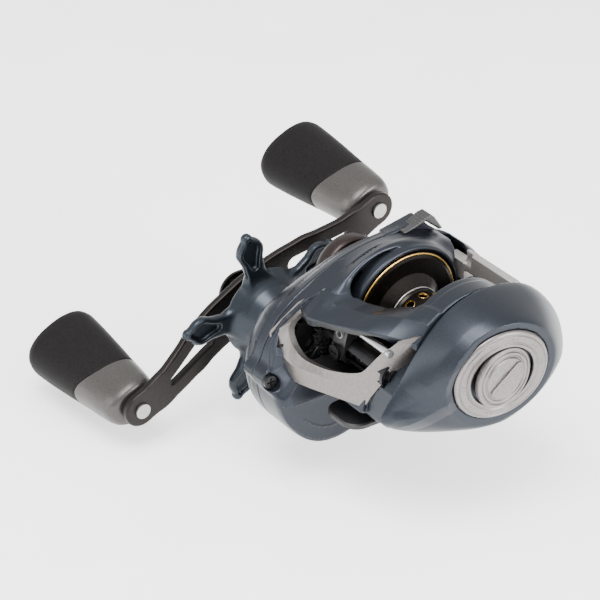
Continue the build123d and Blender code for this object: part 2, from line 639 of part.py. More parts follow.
def crank_place(shape):
    return Pos(0, AXIS_Y, AXIS_Z) * Rot(CRANK_ANGLE, 0, 0) * shape


def crank_arm():
    """Double handle: flat bar bowed outwards at the middle, with a tapered slot in each arm."""
    inner = [(-CRANK_HALF - 6, CRANK_END_X), (-CRANK_HALF + 5, CRANK_END_X), (-12, CRANK_MID_X)]
    inner += [(12, CRANK_MID_X), (CRANK_HALF - 5, CRANK_END_X), (CRANK_HALF + 6, CRANK_END_X)]
    outer = [(s, x - CRANK_T) for s, x in reversed(inner)]
    band = Plane.XY * Polygon(*[(x, s) for s, x in inner + outer], align=None)
    side = extrude(Pos(0, 0, -10) * band, amount=20, dir=(0, 0, 1))
    plan = Circle(8.8)
    for sign in (-1, 1):
        plan += hull_of((0, 0, 8.8), (sign * 22, 0, 7.2)) + hull_of((sign * 22, 0, 7.2), (sign * 38, 0, 5.2))
        plan += hull_of((sign * 38, 0, 5.2), (sign * CRANK_HALF, 0, CRANK_W / 2))
        plan -= hull_of((sign * 17, 0, 2.8), (sign * 34, 0, 0.9))
    bar = side & slab(plan, -70, -40)
    bar = bar - Rot(-CRANK_ANGLE, 0, 0) * (disc(-70, -40, DRIVE_R) & block((-70, -40), (-5, 5), (-2.4, 2.4)))
    for sign in (-1, 1):
        bar -= disc(-70, -40, POST_R, sign * CRANK_HALF, 0)
    return crank_place(bar)


def knob_posts():
    posts = []
    for sign in (-1, 1):
        post = disc(KNOB_OUT + 4.0, CRANK_END_X + 0.6, POST_R, sign * CRANK_HALF, 0)
        post += disc(CRANK_END_X + 0.05, CRANK_END_X + 0.7, 2.3, sign * CRANK_HALF, 0)
        posts.append(crank_place(post))
    return solid_of(*posts)


def handle_nut():
    hexagon = RegularPolygon(5.2, 6)
    nut = slab(Pos(AXIS_Y, AXIS_Z) * hexagon, NUT_OUT + 1.0, CRANK_MID_X - CRANK_T - 0.05)
    return nut - disc(-70, -40, DRIVE_R, AXIS_Y, AXIS_Z)


def nut_retainer():
    """Cap plate over the handle nut, held by a small screw."""
    cap = slab(hull_of((0, 0, 6.2), (9.0, 0, 2.4)), NUT_OUT + 0.1, NUT_OUT + 0.95)
    leg = disc(NUT_OUT + 0.1, CRANK_MID_X - CRANK_T - 0.05, 1.6, 9.0, 0)
    return crank_place(cap + leg)


def knob_grip(sign):
    """Soft outer grip, flared towards its domed end."""
    sections = []
    flare = [(KNOB_SPLIT - 0.1, 9.7, 7.3), (-80.0, 11.2, 8.1), (-92.0, 12.3, 8.8), (KNOB_OUT, 9.4, 6.4)]
    for x, w, t in flare:
        sections.append(Plane.YZ.offset(x) * Ellipse(w, t))
    body = loft(sections)
    body -= disc(KNOB_OUT + 3.6, -60, 3.6)
    return crank_place(Pos(0, sign * CRANK_HALF, 0) * body)


def knob_hub(sign):
    sections = []
    for x, w, t in ((KNOB_SPLIT, 9.7, 7.3), (-60.0, 7.8, 6.4), (KNOB_IN, 6.4, 5.8)):
        sections.append(Plane.YZ.offset(x) * Ellipse(w, t))
    body = loft(sections)
    body -= disc(-70, -50, 3.6)
    return crank_place(Pos(0, sign * CRANK_HALF, 0) * body)


def knob_bushes(sign):
    inner = tube(-60.0, KNOB_IN - 0.1, 3.6, POST_R + FIT, sign * CRANK_HALF, 0)
    outer = tube(KNOB_OUT + 4.4, -80.0, 3.6, POST_R + FIT, sign * CRANK_HALF, 0)
    return crank_place(solid_of(inner, outer))


# ------------------------------------------------------------------ cast control

def cast_control_knob():
    shape = disc(-41.0, -33.4, 11.0) - disc(-39.2, -33.0, 8.4)
    for k in range(30):
        y, z = polar(11.1, 12 * k)
        shape -= disc(-40.4, -34.0, 0.42, y, z)
    return shape - disc(-40.0, -33.0, 7.6 + FIT) - block((-34.4, -30), (-30, 30), (-30, 30))


def tension_spacer():
    return disc(-39.0, -36.8, 2.4)


# ------------------------------------------------------------------ palm side

def tilted(shape):
    """Lean the dial ring and its seat a little forwards and down."""
    return Pos(RING_MID, 0, 0) * Rot(0, RING_LEAN, RING_TURN) * Pos(-RING_MID, 0, 0) * shape


def palm_side_plate():
    """Domed palm plate, egg-shaped at the frame and round under the dial."""
    low = Plane.YZ.offset(PALM_SEAM) * palm_face(1.0)
    mid = Plane.YZ.offset(22.0) * palm_face(0.86, 10.0, -6.0)
    high = Plane.YZ.offset(26.4) * palm_face(0.66, 8.0, -4.0)
    shell = loft([low, mid, high])
    shell += tilted(loft([Plane.YZ.offset(25.2) * Circle(17.4), Plane.YZ.offset(29.7) * Circle(15.2)]))
    shell -= slab(palm_face(0.86), PALM_SEAM - 1, 18.5)
    shell -= slab(palm_face(0.68, 8.0, -5.0), 18.0, 22.4)
    shell -= disc(22.0, 25.0, 12.0)
    shell -= disc(20, 40, 7.0)
    shell -= disc(30.0, 40, DIAL_R + 0.35)
    shell -= disc(PALM_SEAM - 1, 19.0, 17.45)
    return shell


def palm_inner_plate():
    """Carrier behind the palm plate with the spool bearing seat and bayonet lugs."""
    plate = disc(15.6, 19.0, 17.4)
    plate += disc(14.0, 15.7, 5.6)
    plate -= disc(14.3, 16.9, 4.0)
    plate -= disc(10, 18.0, SHAFT_R + 0.5)
    for k in range(3):
        y, z = polar(12.6, 120 * k)
        plate -= disc(10, 30, 1.5, y, z)
    return plate


def magnet_holder():
    return tube(14.75, 15.5, 15.6, 11.0)


def brake_magnets():
    magnets = []
    for k in range(8):
        y, z = polar(12.8, 45 * k + 22.5)
        magnets.append(disc(12.9, 14.7, 1.5, y, z))
    return solid_of(*magnets)


def brake_dial():
    """Knurled-edge adjuster with a raised bar to turn it by."""
    shape = disc(30.4, 32.2, DIAL_R) + disc(32.1, 32.6, 6.6)
    shape += disc(24.0, 30.5, 6.6)
    bar = slab(hull_of((-5.4, 0, 0.8), (5.4, 0, 1.1)), 32.4, DIAL_FACE)
    shape += Rot(35, 0, 0) * bar
    return shape


def dial_trim_ring():
    return tilted(disc(29.75, 31.1, RING_R)) - disc(20, 40, DIAL_R + 0.35)


def dial_click_spring():
    return block((24.4, 24.8), (7.4, 11.4), (-1.5, 1.5))


PIECES = {
    "main_frame": main_frame,
    "front_trim": front_trim,
    "front_hood": front_hood,
    "reel_foot": reel_foot,
    "foot_screws": foot_screws,
    "handle_side_plate": handle_side_plate,
    "cover_screws": cover_screws,
    "flipping_switch": flipping_switch,
    "drive_shaft_bearing": lambda: ball_bearing(FLOOR_OUT, FLOOR_IN - 0.4, 4.0, 2.0, AXIS_Y, AXIS_Z),
    "pinion_bearing": lambda: ball_bearing(FLOOR_OUT, FLOOR_IN, 7.0, 4.4 + FIT, 0, 0, 9),
    "spool_bearing_handle": lambda: ball_bearing(-31.6, -29.2, 4.0, SHAFT_R + FIT),
    "spool_bearing_palm": lambda: ball_bearing(14.4, 16.8, 4.0, SHAFT_R + FIT),
    "anti_reverse_bearing": anti_reverse_bearing,
    "yoke_guide_pins": yoke_guide_pins,
    "yoke_springs": yoke_springs,
    "worm_tube": worm_tube,
    "guide_rod": guide_rod,
    "worm_shaft": worm_shaft,
    "worm_gear": worm_gear,
    "line_guide": line_guide,
    "line_guide_insert": line_guide_insert,
    "worm_pawl": worm_pawl,
    "spool": spool,
    "spool_shaft": spool_shaft,
    "spool_cross_pin": spool_cross_pin,
    "brake_rotor": brake_rotor,
    "pinion_gear": pinion_gear,
    "clutch_yoke": clutch_yoke,
    "thumb_bar": thumb_bar,
    "clutch_cam": clutch_cam,
    "drive_shaft": drive_shaft,
    "levelwind_drive_gear": levelwind_drive_gear,
    "main_gear": main_gear,
    "drag_washers": drag_washers,
    "drag_pressure_plate": drag_pressure_plate,
    "ratchet_wheel": ratchet_wheel,
    "anti_reverse_sleeve": anti_reverse_sleeve,
    "drag_spring_washers": drag_spring_washers,
    "star_drag": star_drag,
    "crank_arm": crank_arm,
    "knob_posts": knob_posts,
    "handle_nut": handle_nut,
    "nut_retainer": nut_retainer,
    "rear_knob_grip": lambda: knob_grip(1),
    "rear_knob_hub": lambda: knob_hub(1),
    "rear_knob_bushes": lambda: knob_bushes(1),
    "front_knob_grip": lambda: knob_grip(-1),
    "front_knob_hub": lambda: knob_hub(-1),
    "front_knob_bushes": lambda: knob_bushes(-1),
    "cast_control_knob": cast_control_knob,
    "tension_spacer": tension_spacer,
    "palm_side_plate": palm_side_plate,
    "palm_inner_plate": palm_inner_plate,
    "magnet_holder": magnet_holder,
    "brake_magnets": brake_magnets,
    "brake_dial": brake_dial,
    "dial_trim_ring": dial_trim_ring,
    "dial_click_spring": dial_click_spring,
}

for name, make in PIECES.items():
    export_step(Pos(0, 0, SPOOL_Z) * make(), f"parts/{name}.step")
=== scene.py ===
import json
import math

import bpy
import numpy as np
from mathutils import Matrix, Vector


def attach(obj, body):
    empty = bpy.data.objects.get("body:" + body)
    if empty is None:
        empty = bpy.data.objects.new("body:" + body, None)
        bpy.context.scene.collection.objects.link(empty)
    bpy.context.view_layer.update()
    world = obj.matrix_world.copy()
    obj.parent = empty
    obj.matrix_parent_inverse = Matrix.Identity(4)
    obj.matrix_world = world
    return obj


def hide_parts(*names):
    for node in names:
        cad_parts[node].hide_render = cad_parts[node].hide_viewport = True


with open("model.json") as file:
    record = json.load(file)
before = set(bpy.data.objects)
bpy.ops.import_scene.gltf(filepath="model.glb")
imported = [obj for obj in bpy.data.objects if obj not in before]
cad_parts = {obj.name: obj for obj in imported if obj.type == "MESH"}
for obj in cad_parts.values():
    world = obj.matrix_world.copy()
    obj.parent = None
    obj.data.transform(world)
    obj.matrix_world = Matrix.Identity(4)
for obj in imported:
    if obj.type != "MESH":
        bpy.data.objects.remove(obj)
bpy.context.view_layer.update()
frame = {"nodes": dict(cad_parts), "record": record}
sin, cos, pi, radians, hyp = math.sin, math.cos, math.pi, math.radians, np.hypot

# Places are in millimetres from the spool axis, along the frame's directions.
MM = 0.001
SPOOL_Z = 20.6                                # spool axis above the foot seat
DRIVE_REACH = 24.0                            # from the spool axis to the drive axis
AY = -19.6                                    # drive axis
AZ = -math.sqrt(DRIVE_REACH ** 2 - AY ** 2)
WORM_REACH, WORM_TURN = 12.0, radians(104)    # worm axis, from the drive axis
WY = AY + WORM_REACH * cos(WORM_TURN)
WZ = AZ + WORM_REACH * sin(WORM_TURN)
TILT = radians(26.4)                          # turn of the handle at rest
POST = 46.0                                   # knob posts, from the drive axis


# ---------------------------------------------------------------- camera
def make_camera():
    """Long lens, turned and rolled about the spool axis and then moved across its own view."""
    azimuth, elevation, roll = radians(52.05), radians(30.58), radians(2.8)
    distance, sensor, lens = 650.0, 36.0, 141.57
    across, upwards = -35.6336, 7.0275
    back = np.array([sin(azimuth) * cos(elevation), -cos(azimuth) * cos(elevation), sin(elevation)])
    level = np.array([cos(azimuth), sin(azimuth), 0.0])
    upright = np.cross(back, level)
    right = level * cos(roll) + upright * sin(roll)
    up = upright * cos(roll) - level * sin(roll)
    place = back * distance + right * across + up * upwards
    cam = bpy.data.objects.new("camera", bpy.data.cameras.new("camera"))
    bpy.context.scene.collection.objects.link(cam)
    cam.matrix_world = Matrix(((right[0], up[0], back[0], place[0] * MM),
                               (right[1], up[1], back[1], place[1] * MM),
                               (right[2], up[2], back[2], (place[2] + SPOOL_Z) * MM),
                               (0, 0, 0, 1)))
    cam.data.sensor_width = sensor
    cam.data.lens = lens
    cam.data.clip_start, cam.data.clip_end = 0.01, 20.0
    bpy.context.scene.camera = cam


make_camera()


# ---------------------------------------------------------------- materials
def material(name, dark, light, metal, rough, grain, bump, coat=0.0, coat_rough=0.2, stretch=(1, 1, 1),
             spec=0.5):
    """Principled surface with a fine grain, a slow colour drift and a fine bump."""
    m = bpy.data.materials.new(name)
    m.use_nodes = True
    tree = m.node_tree
    shader = tree.nodes["Principled BSDF"]

    def node(kind, **values):
        made = tree.nodes.new(kind)
        for socket, value in values.items():
            made.inputs[socket.replace("_", " ")].default_value = value
        return made

    place = node("ShaderNodeTexCoord").outputs["Object"]
    mapping = node("ShaderNodeMapping", Scale=stretch)
    fine = node("ShaderNodeTexNoise", Scale=grain, Detail=3)
    slow = node("ShaderNodeTexNoise", Scale=38, Detail=2)
    drift = node("ShaderNodeMath")
    drift.operation = "MULTIPLY_ADD"
    drift.inputs[1].default_value = 0.3
    ramp = node("ShaderNodeValToRGB")
    for stop, position, colour in zip(ramp.color_ramp.elements, (0.35, 0.95), (dark, light)):
        stop.position = position
        stop.color = (*colour, 1)
    spread = node("ShaderNodeMapRange", To_Min=rough * 0.86, To_Max=rough * 1.14)
    relief = node("ShaderNodeBump", Strength=bump * 4, Distance=0.00005)
    links = ((place, mapping, 0), (mapping.outputs[0], fine, "Vector"), (place, slow, "Vector"),
             (slow.outputs[0], drift, 0), (fine.outputs[0], drift, 2), (drift.outputs[0], ramp, 0),
             (ramp.outputs[0], shader, "Base Color"), (fine.outputs[0], spread, "Value"),
             (spread.outputs[0], shader, "Roughness"), (fine.outputs[0], relief, "Height"),
             (relief.outputs[0], shader, "Normal"))
    for source, target, socket in links:
        tree.links.new(source, target.inputs[socket])
    shader.inputs["Metallic"].default_value = metal
    shader.inputs["Coat Weight"].default_value = coat
    shader.inputs["Coat Roughness"].default_value = coat_rough
    shader.inputs["Specular IOR Level"].default_value = spec
    return m


# dark colour, light colour, metallic, roughness, grain, bump
FINISHES = {
    "body_blue": ((0.0105, 0.0130, 0.0190), (0.0175, 0.0225, 0.0310), 0.75, 0.38, 2600, 0.02),
    "trim_silver": ((0.135, 0.124, 0.118), (0.195, 0.182, 0.174), 0.85, 0.36, 1500, 0.03),
    "frame_black": ((0.006, 0.006, 0.007), (0.012, 0.012, 0.013), 0.1, 0.5, 1500, 0.04),
    "screw_black": ((0.008, 0.008, 0.009), (0.02, 0.02, 0.021), 0.6, 0.35, 1500, 0.03),
    "spool_dark": ((0.010, 0.0085, 0.0075), (0.020, 0.017, 0.0145), 0.9, 0.33, 1800, 0.02),
    "gold": ((0.62, 0.36, 0.08), (0.80, 0.52, 0.16), 1.0, 0.28, 900, 0.02),
    "steel": ((0.36, 0.36, 0.37), (0.55, 0.55, 0.56), 1.0, 0.3, 700, 0.03),
    "bearing_steel": ((0.5, 0.5, 0.51), (0.68, 0.68, 0.69), 1.0, 0.16, 700, 0.01),
    "brass": ((0.48, 0.33, 0.11), (0.66, 0.48, 0.2), 1.0, 0.3, 900, 0.02),
    "aluminium": ((0.42, 0.42, 0.42), (0.6, 0.6, 0.6), 1.0, 0.34, 900, 0.02),
    "crank_dark": ((0.011, 0.0092, 0.0088), (0.021, 0.018, 0.0165), 0.8, 0.38, 2200, 0.03),
    "thumb_grey": ((0.34, 0.325, 0.315), (0.46, 0.44, 0.43), 0.8, 0.42, 1800, 0.03),
    "cast_brown": ((0.020, 0.0145, 0.0135), (0.036, 0.027, 0.025), 0.8, 0.36, 1600, 0.02),
    "star_blue": ((0.010, 0.014, 0.020), (0.018, 0.025, 0.033), 0.75, 0.36, 2600, 0.02),
    "lever_grey": ((0.035, 0.035, 0.037), (0.06, 0.059, 0.059), 0.55, 0.42, 1800, 0.05),
    "grip_black": ((0.006, 0.0055, 0.0055), (0.012, 0.011, 0.011), 0.0, 0.5, 1300, 0.06),
    "hub_taupe": ((0.045, 0.042, 0.039), (0.075, 0.070, 0.066), 0.65, 0.36, 2200, 0.03),
    "bush": ((0.5, 0.49, 0.46), (0.66, 0.64, 0.6), 0.0, 0.45, 900, 0.03),
    "guide_black": ((0.008, 0.008, 0.009), (0.018, 0.018, 0.019), 0.1, 0.32, 1200, 0.03),
    "ceramic": ((0.16, 0.16, 0.165), (0.30, 0.30, 0.31), 0.4, 0.12, 900, 0.01),
    "friction": ((0.015, 0.015, 0.016), (0.04, 0.04, 0.04), 0.0, 0.8, 900, 0.2),
    "plastic_black": ((0.012, 0.012, 0.012), (0.024, 0.024, 0.024), 0.0, 0.5, 900, 0.05),
    "dial_silver": ((0.155, 0.143, 0.140), (0.235, 0.218, 0.213), 0.88, 0.33, 1500, 0.03),
    "magnet": ((0.4, 0.4, 0.4), (0.55, 0.55, 0.55), 1.0, 0.2, 900, 0.01),
    # dark copy of steel, used as painted shade on the inner works
    "steel_dark": ((0.012, 0.012, 0.013), (0.030, 0.030, 0.032), 0.8, 0.3, 700, 0.03),
    "rivet": ((0.30, 0.295, 0.29), (0.42, 0.41, 0.40), 0.9, 0.3, 900, 0.02),
}
EXTRAS = {
    "body_blue": {"coat": 0.2, "coat_rough": 0.3},
    "star_blue": {"coat": 0.2, "coat_rough": 0.25},
    "steel": {"stretch": (1, 9, 9)},
    "steel_dark": {"stretch": (1, 9, 9)},
    "grip_black": {"spec": 0.05},
}
M = {name: material(name, *look, **EXTRAS.get(name, {})) for name, look in FINISHES.items()}


# ---------------------------------------------------------------- field modelling
def smin(a, b, k):
    """Union of two fields with a blend k wide."""
    h = np.maximum(k - np.abs(a - b), 0.0) / k
    return np.minimum(a, b) - h * h * k * 0.25


def smax(a, b, k):
    """Intersection of two fields with a blend k wide."""
    return -smin(-a, -b, k)


def polygon(u, v, pts):
    """Signed distance to a closed outline; its corners may be numbers or arrays."""
    best, inside, n = None, None, len(pts)
    for i in range(n):
        (ax, ay), (bx, by) = pts[i], pts[(i + 1) % n]
        ex, ey, wx, wy = bx - ax, by - ay, u - ax, v - ay
        t = np.clip((wx * ex + wy * ey) / (ex * ex + ey * ey + 1e-12), 0, 1)
        q = (wx - ex * t) ** 2 + (wy - ey * t) ** 2
        best = q if best is None else np.minimum(best, q)
        c1, c2, c3 = v >= ay, v < by, ex * wy > ey * wx
        flip = (c1 & c2 & c3) | (~c1 & ~c2 & ~c3)
        inside = flip if inside is None else inside ^ flip
    return np.where(inside, -1.0, 1.0) * np.sqrt(best)


def soften(pts, rounds):
    """Cut an outline's corners again and again."""
    p = np.array(pts, float)
    for _ in range(rounds):
        q = np.roll(p, -1, axis=0)
        p = np.stack([p * 0.75 + q * 0.25, p * 0.25 + q * 0.75], 1).reshape(-1, p.shape[1])
    return [tuple(a) for a in p]


def circle(Y, Z, r, y=0.0, z=0.0):
    """Endless cylinder along X."""
    return hyp(Y - y, Z - z) - r


def band(v, low, high):
    """Negative between the two ends."""
    return np.abs(v - (low + high) / 2) - (high - low) / 2


def box(X, Y, Z, x, y, z):
    """Each of x, y and z is a low and a high end."""
    return np.maximum(np.maximum(band(Y, *y), band(Z, *z)), band(X, *x))


def rod(X, Y, Z, x0, x1, r, y=0.0, z=0.0, k=0.4):
    """Cylinder along X between two ends, its edges rounded by k."""
    return smax(circle(Y, Z, r, y, z), band(X, x0, x1), k)


def slab(X, d, x0, x1, k):
    """Outline field d given thickness between two ends."""
    return smax(d, band(X, x0, x1), k)


def pill(U, V, a, b):
    """Hull of two circles (u, v, r)."""
    ex, ey = b[0] - a[0], b[1] - a[1]
    t = np.clip(((U - a[0]) * ex + (V - a[1]) * ey) / (ex * ex + ey * ey), 0, 1)
    return hyp(U - a[0] - ex * t, V - a[1] - ey * t) - (a[2] + (b[2] - a[2]) * t)


def on_line(v, points):
    """Value at v on a broken line of (v, value) points."""
    return np.interp(v, [a for a, b in points], [b for a, b in points])


def surface(f, lo, hi, h):
    """Surface nets on a regular grid, pulled on to the field and given its normals."""
    ax = [np.arange(lo[i] - h, hi[i] + 2 * h, h) for i in range(3)]
    X, Y, Z = ax[0][:, None, None], ax[1][None, :, None], ax[2][None, None, :]
    v = np.broadcast_to(f(X, Y, Z), (len(ax[0]), len(ax[1]), len(ax[2]))).astype(np.float32)
    n = np.array(v.shape)
    cells = n - 1
    owners, crossings, quads = [], [], []

    def number(j):
        return (j[:, 0] * cells[1] + j[:, 1]) * cells[2] + j[:, 2]

    # each grid edge that crosses the surface gives a quad between the four cells round it
    for a in range(3):
        s0, s1 = [slice(None)] * 3, [slice(None)] * 3
        s0[a], s1[a] = slice(0, -1), slice(1, None)
        v0, v1 = v[tuple(s0)], v[tuple(s1)]
        idx = np.argwhere((v0 < 0) != (v1 < 0))
        b, c = (a + 1) % 3, (a + 2) % 3
        keep = (idx[:, b] > 0) & (idx[:, c] > 0) & (idx[:, b] < n[b] - 1) & (idx[:, c] < n[c] - 1)
        idx = idx[keep]
        w0, w1 = v0[tuple(idx.T)], v1[tuple(idx.T)]
        p = idx.astype(float)
        p[:, a] += w0 / (w0 - w1)
        corner = []
        for db, dc in ((0, 0), (1, 0), (1, 1), (0, 1)):
            j = idx.copy()
            j[:, b] -= db
            j[:, c] -= dc
            corner.append(number(j))
            owners.append(corner[-1])
            crossings.append(p)
        q = np.stack(corner, 1)
        q[w0 > 0] = q[w0 > 0][:, ::-1]
        quads.append(q)

    # each cell's point is the mean of its edges' crossings
    owners, crossings, quads = np.concatenate(owners), np.concatenate(crossings), np.concatenate(quads)
    used, inv = np.unique(owners, return_inverse=True)
    count = np.bincount(inv)
    verts = np.stack([np.bincount(inv, crossings[:, i]) / count for i in range(3)], 1)
    faces = np.searchsorted(used, quads)
    verts = verts * h + np.array([ax[0][0], ax[1][0], ax[2][0]])

    def grad(p, e=0.05):
        g = np.empty_like(p)
        for i in range(3):
            d = np.zeros(3)
            d[i] = e
            g[:, i] = (f(*(p + d).T) - f(*(p - d).T)) / (2 * e)
        return g

    for _ in range(2):
        g = grad(verts)
        step = f(*verts.T) / np.maximum((g * g).sum(1), 0.2)
        verts -= np.clip(step, -0.5 * h, 0.5 * h)[:, None] * g
    g = grad(verts, 0.12)
    return verts, faces, g / np.maximum(np.linalg.norm(g, axis=1, keepdims=True), 1e-6)


def add_mesh(name, verts, faces, body, mat, nodes=(), normals=None, smooth=True):
    """Piece from points in millimetres that rides on a body and stands for CAD nodes."""
    me = bpy.data.meshes.new(name)
    co = np.asarray(verts, float) * MM
    co[:, 2] += SPOOL_Z * MM
    if isinstance(faces, np.ndarray):
        me.vertices.add(len(co))
        me.vertices.foreach_set("co", co.ravel())
        me.loops.add(faces.size)
        me.loops.foreach_set("vertex_index", faces.ravel().astype(np.int32))
        me.polygons.add(len(faces))
        me.polygons.foreach_set("loop_start", np.arange(0, faces.size, faces.shape[1], dtype=np.int32))
        me.update(calc_edges=True)
    else:
        me.from_pydata([tuple(c) for c in co], [], faces)
    me.validate()
    me.polygons.foreach_set("use_smooth", [smooth] * len(me.polygons))
    if normals is not None:
        me.normals_split_custom_set_from_vertices(normals.tolist())
    me.materials.append(M[mat])
    o = bpy.data.objects.new(name, me)
    bpy.context.scene.collection.objects.link(o)
    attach(o, body)
    if nodes:
        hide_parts(*nodes)
    return o


def carve(name, f, lo, hi, h, body, mat, nodes=()):
    """Piece from a field, on a grid h apart between two corners."""
    v, q, n = surface(f, lo, hi, h)
    return add_mesh(name, v, q, body, mat, nodes, normals=n)


def edges(o, width, angle, segments):
    """Small bevel on every edge sharper than the angle."""
    mod = o.modifiers.new("edges", "BEVEL")
    mod.width, mod.segments, mod.limit_method = width * MM, segments, "ANGLE"
    mod.angle_limit = radians(angle)


def lathe(name, profile, body, mat, nodes=(), n=96, lean=None):
    """Turn a closed outline of (x, r) points about the spool axis."""
    verts, faces, m = [], [], len(profile)
    for i in range(n):
        a = 2 * pi * i / n
        for x, r in profile:
            verts.append((x, r * cos(a), r * sin(a)))
    for i in range(n):
        j = (i + 1) % n
        for k in range(m):
            k2 = (k + 1) % m
            faces.append((i * m + k2, j * m + k2, j * m + k, i * m + k))
    verts = np.array(verts)
    if lean is not None:
        verts = lean(verts)
    return add_mesh(name, verts, faces, body, mat, nodes)


# ---------------------------------------------------------------- shared outlines, as (y, z) points
EGG = soften([(-37.5, -0.5), (-29.5, 8.2), (-16, 14.8), (-3, 17.6), (8, 17.6), (22, 13.6), (31, 6),
              (30, -6), (18, -16.5), (2, -20.0), (-19, -20.0), (-34, -16)], 2)
PALM = soften([(-32.0, -11.6), (-26.0, -3.4), (-18.4, 8.6), (-10.6, 16.4), (-1, 19.8), (9, 19.4),
               (18.6, 16.6), (26.6, 9.2), (31.2, -0.2), (29.0, -8.0), (21.0, -15.4), (9, -19.8),
               (-3, -20.4), (-14, -19.9), (-24, -16.8)], 3)
SCREWS = [(-41.9, -12.6), (28.4, 3.2), (0.2, -25.0)]    # cover screws
SEAM_X, PALM_X = -22.0, 17.0                  # ends of the frame, at the cover and at the palm plate
WALL_X = -12.2                                # face of the handle-side wall, towards the spool
BORE = 17.95                                  # radius of the room for the spool
BARS = (-13.4, 13.3)                          # x of the bars between the two ends
GEAR_ROOM = 21.2                              # radius of the room round the main gear
SKIN = 1.4                                    # wall of the frame's case and its cover
GUIDE_GAP = 0.55                              # round the line guide's travel


def outline(Y, Z):
    """Side view of the gear case: an egg, with the main gear's bulge below it."""
    egg = polygon(Y, Z, EGG)
    bulge = smin(circle(Y, Z, 22.4, AY, AZ), circle(Y, Z, 13.2, -22.4, -23.4), 2.0)
    return smin(egg, bulge, 2.5)


# hood over the line window: x, then y and z of its front edge and of its edge at the spool
HOOD = np.array([(-23, -28.0, 6.6, -15.6, 15.2), (-18, -30.6, 5.9, -18.5, 13.0),
                 (-14, -31.7, 6.2, -19.7, 12.2), (-10, -31.6, 7.0, -20.0, 11.0),
                 (-5, -30.6, 8.0, -18.0, 10.4), (0, -28.8, 8.8, -15.6, 10.6),
                 (5, -26.4, 9.4, -13.2, 12.8), (10, -23.6, 9.6, -12.0, 15.0),
                 (14, -21.0, 9.4, -11.4, 15.9), (18, -18.3, 9.2, -11.2, 16.2)])


def hood_field(X, Y, Z):
    """Thin shell between the hood's two edges, slightly arched."""
    front_y, front_z, back_y, back_z = [np.interp(X, HOOD[:, 0], HOOD[:, i]) for i in range(1, 5)]
    mid_y, mid_z = (front_y + back_y) / 2, (front_z + back_z) / 2 + 0.7
    section = [(front_y + 0.9, front_z - 2.0), (front_y + 0.4, front_z - 0.4), (mid_y, mid_z),
               (back_y - 0.3, back_z - 0.3), (back_y - 0.1, back_z - 1.3),
               (mid_y + 0.3, mid_z - 1.5), (front_y + 2.2, front_z - 1.4), (front_y + 2.0, front_z - 2.2)]
    return smax(polygon(Y, Z, section) - 0.35, band(X, -22.15, 16.95), 0.3)


def guide_room(X, Y, Z):
    """Space that the line guide and its pawl sweep, widened by a gap."""
    gap = GUIDE_GAP
    d = np.minimum(pill(Y, Z, (WY, WZ, 4.6 + gap), (WY - 1.2, WZ + 5.2, 2.6 + gap)),
                   pill(Y, Z, (WY, WZ + 6.0, 1.8 + gap), (-24.6, 5.8, 1.8 + gap)))
    d = np.minimum(d, np.maximum(band(Y, WY - 6.4, WY), band(Z, WZ - 2.3 - gap, WZ + 2.3 + gap)))
    return np.maximum(d, band(X, -11.9 - gap, 10.1 + gap))


# height, front of the case, x where it starts to turn in, and x and y of the trim's outer edge
FLANK = np.array([(-24, -41.0, -14, -13, -41.0), (-17, -43.0, -14.4, -12.6, -42.0),
                  (-12.3, -44.0, -15.6, -13.6, -36.6), (-7.5, -42.5, -18.6, -16.8, -38.2),
                  (-3, -40.4, -20.8, -19.8, -38.9), (-0.6, -39.6, -21.4, -20.4, -38.6),
                  (1.2, -38.2, -21.4, -20.3, -37.0), (7.7, -32.4, -20.2, -18.8, -30.6),
                  (13, -25, -19, -18, -25)])


def flank(X, Z):
    """Front of the case between its seam and the outer edge of the trim, outside the main gear."""
    front, turn_x, trim_x, trim_y = [np.interp(Z, FLANK[:, 0], FLANK[:, i]) for i in range(1, 5)]
    y = front + (trim_y - front) * np.clip((X - turn_x) / (trim_x - turn_x), 0, 1)
    y = y + 1.8 * np.clip((X - trim_x) / 1.2, 0, 1)
    over_gear = AY - np.sqrt(np.maximum((GEAR_ROOM + 1.0) ** 2 - (Z - AZ) ** 2, 1.0))
    return y + (np.minimum(y, over_gear) - y) * np.clip((-16.2 - X) / 0.8, 0, 1)


def palm_end(X, Y, Z):
    """Ring and front post that carry the palm plate."""
    post_foot = (-24.6, -10.6, 4.6)
    ring = smin(circle(Y, Z, 19.3), pill(Y, Z, (0, 0, 15), post_foot), 1.0)
    ring = smax(ring, band(X, 12.3, PALM_X), 0.3)
    ring = smin(ring, rod(X, Y, Z, 9.5, PALM_X, 19.3, k=0.8), 0.5)
    post = smax(pill(Y, Z, (-19, -8.2, 5), post_foot), band(X, 8.8, PALM_X), 0.3)
    arm = smax(pill(Y, Z, (-24.4, -9.6, 4.4), (-18.4, 1.0, 4.0)), band(X, 9.8, PALM_X), 0.3)
    return smin(ring, smin(post, arm, 0.5), 0.5)


def under_bars(X, Y, Z):
    """Bars that join the two ends behind, below and in front of the spool."""
    rear = polygon(Y, Z, [(19.6, -8.6), (26.4, -7.6), (27.4, 1.0), (20.4, 1.2)])
    web = polygon(Y, Z, [(11.0, -17.6), (25.4, -11.0), (25.8, -6.0), (19.6, -4.2), (14.0, -10.4)])
    front = polygon(Y, Z, [(-29.0, -14.2), (-16.0, -19.0), (-12.0, -19.1), (-14.6, -14.6), (-27.6, -9.4)])
    return slab(X, smin(smin(rear, web, 1.5), front, 0.5), *BARS, 0.5)


def collar_pocket(X, Y, Z):
    """Recess between the collar and the spool's rim."""
    ring = smax(circle(Y, Z, 20.6, -3.3, -1.3), 19.5 - hyp(Y, Z), 0.2)
    ring = smax(smax(ring, -17.2 - X, 0.4), X + 9.0, 0.4)
    return smax(ring, 3.0 - Z, 1.0)


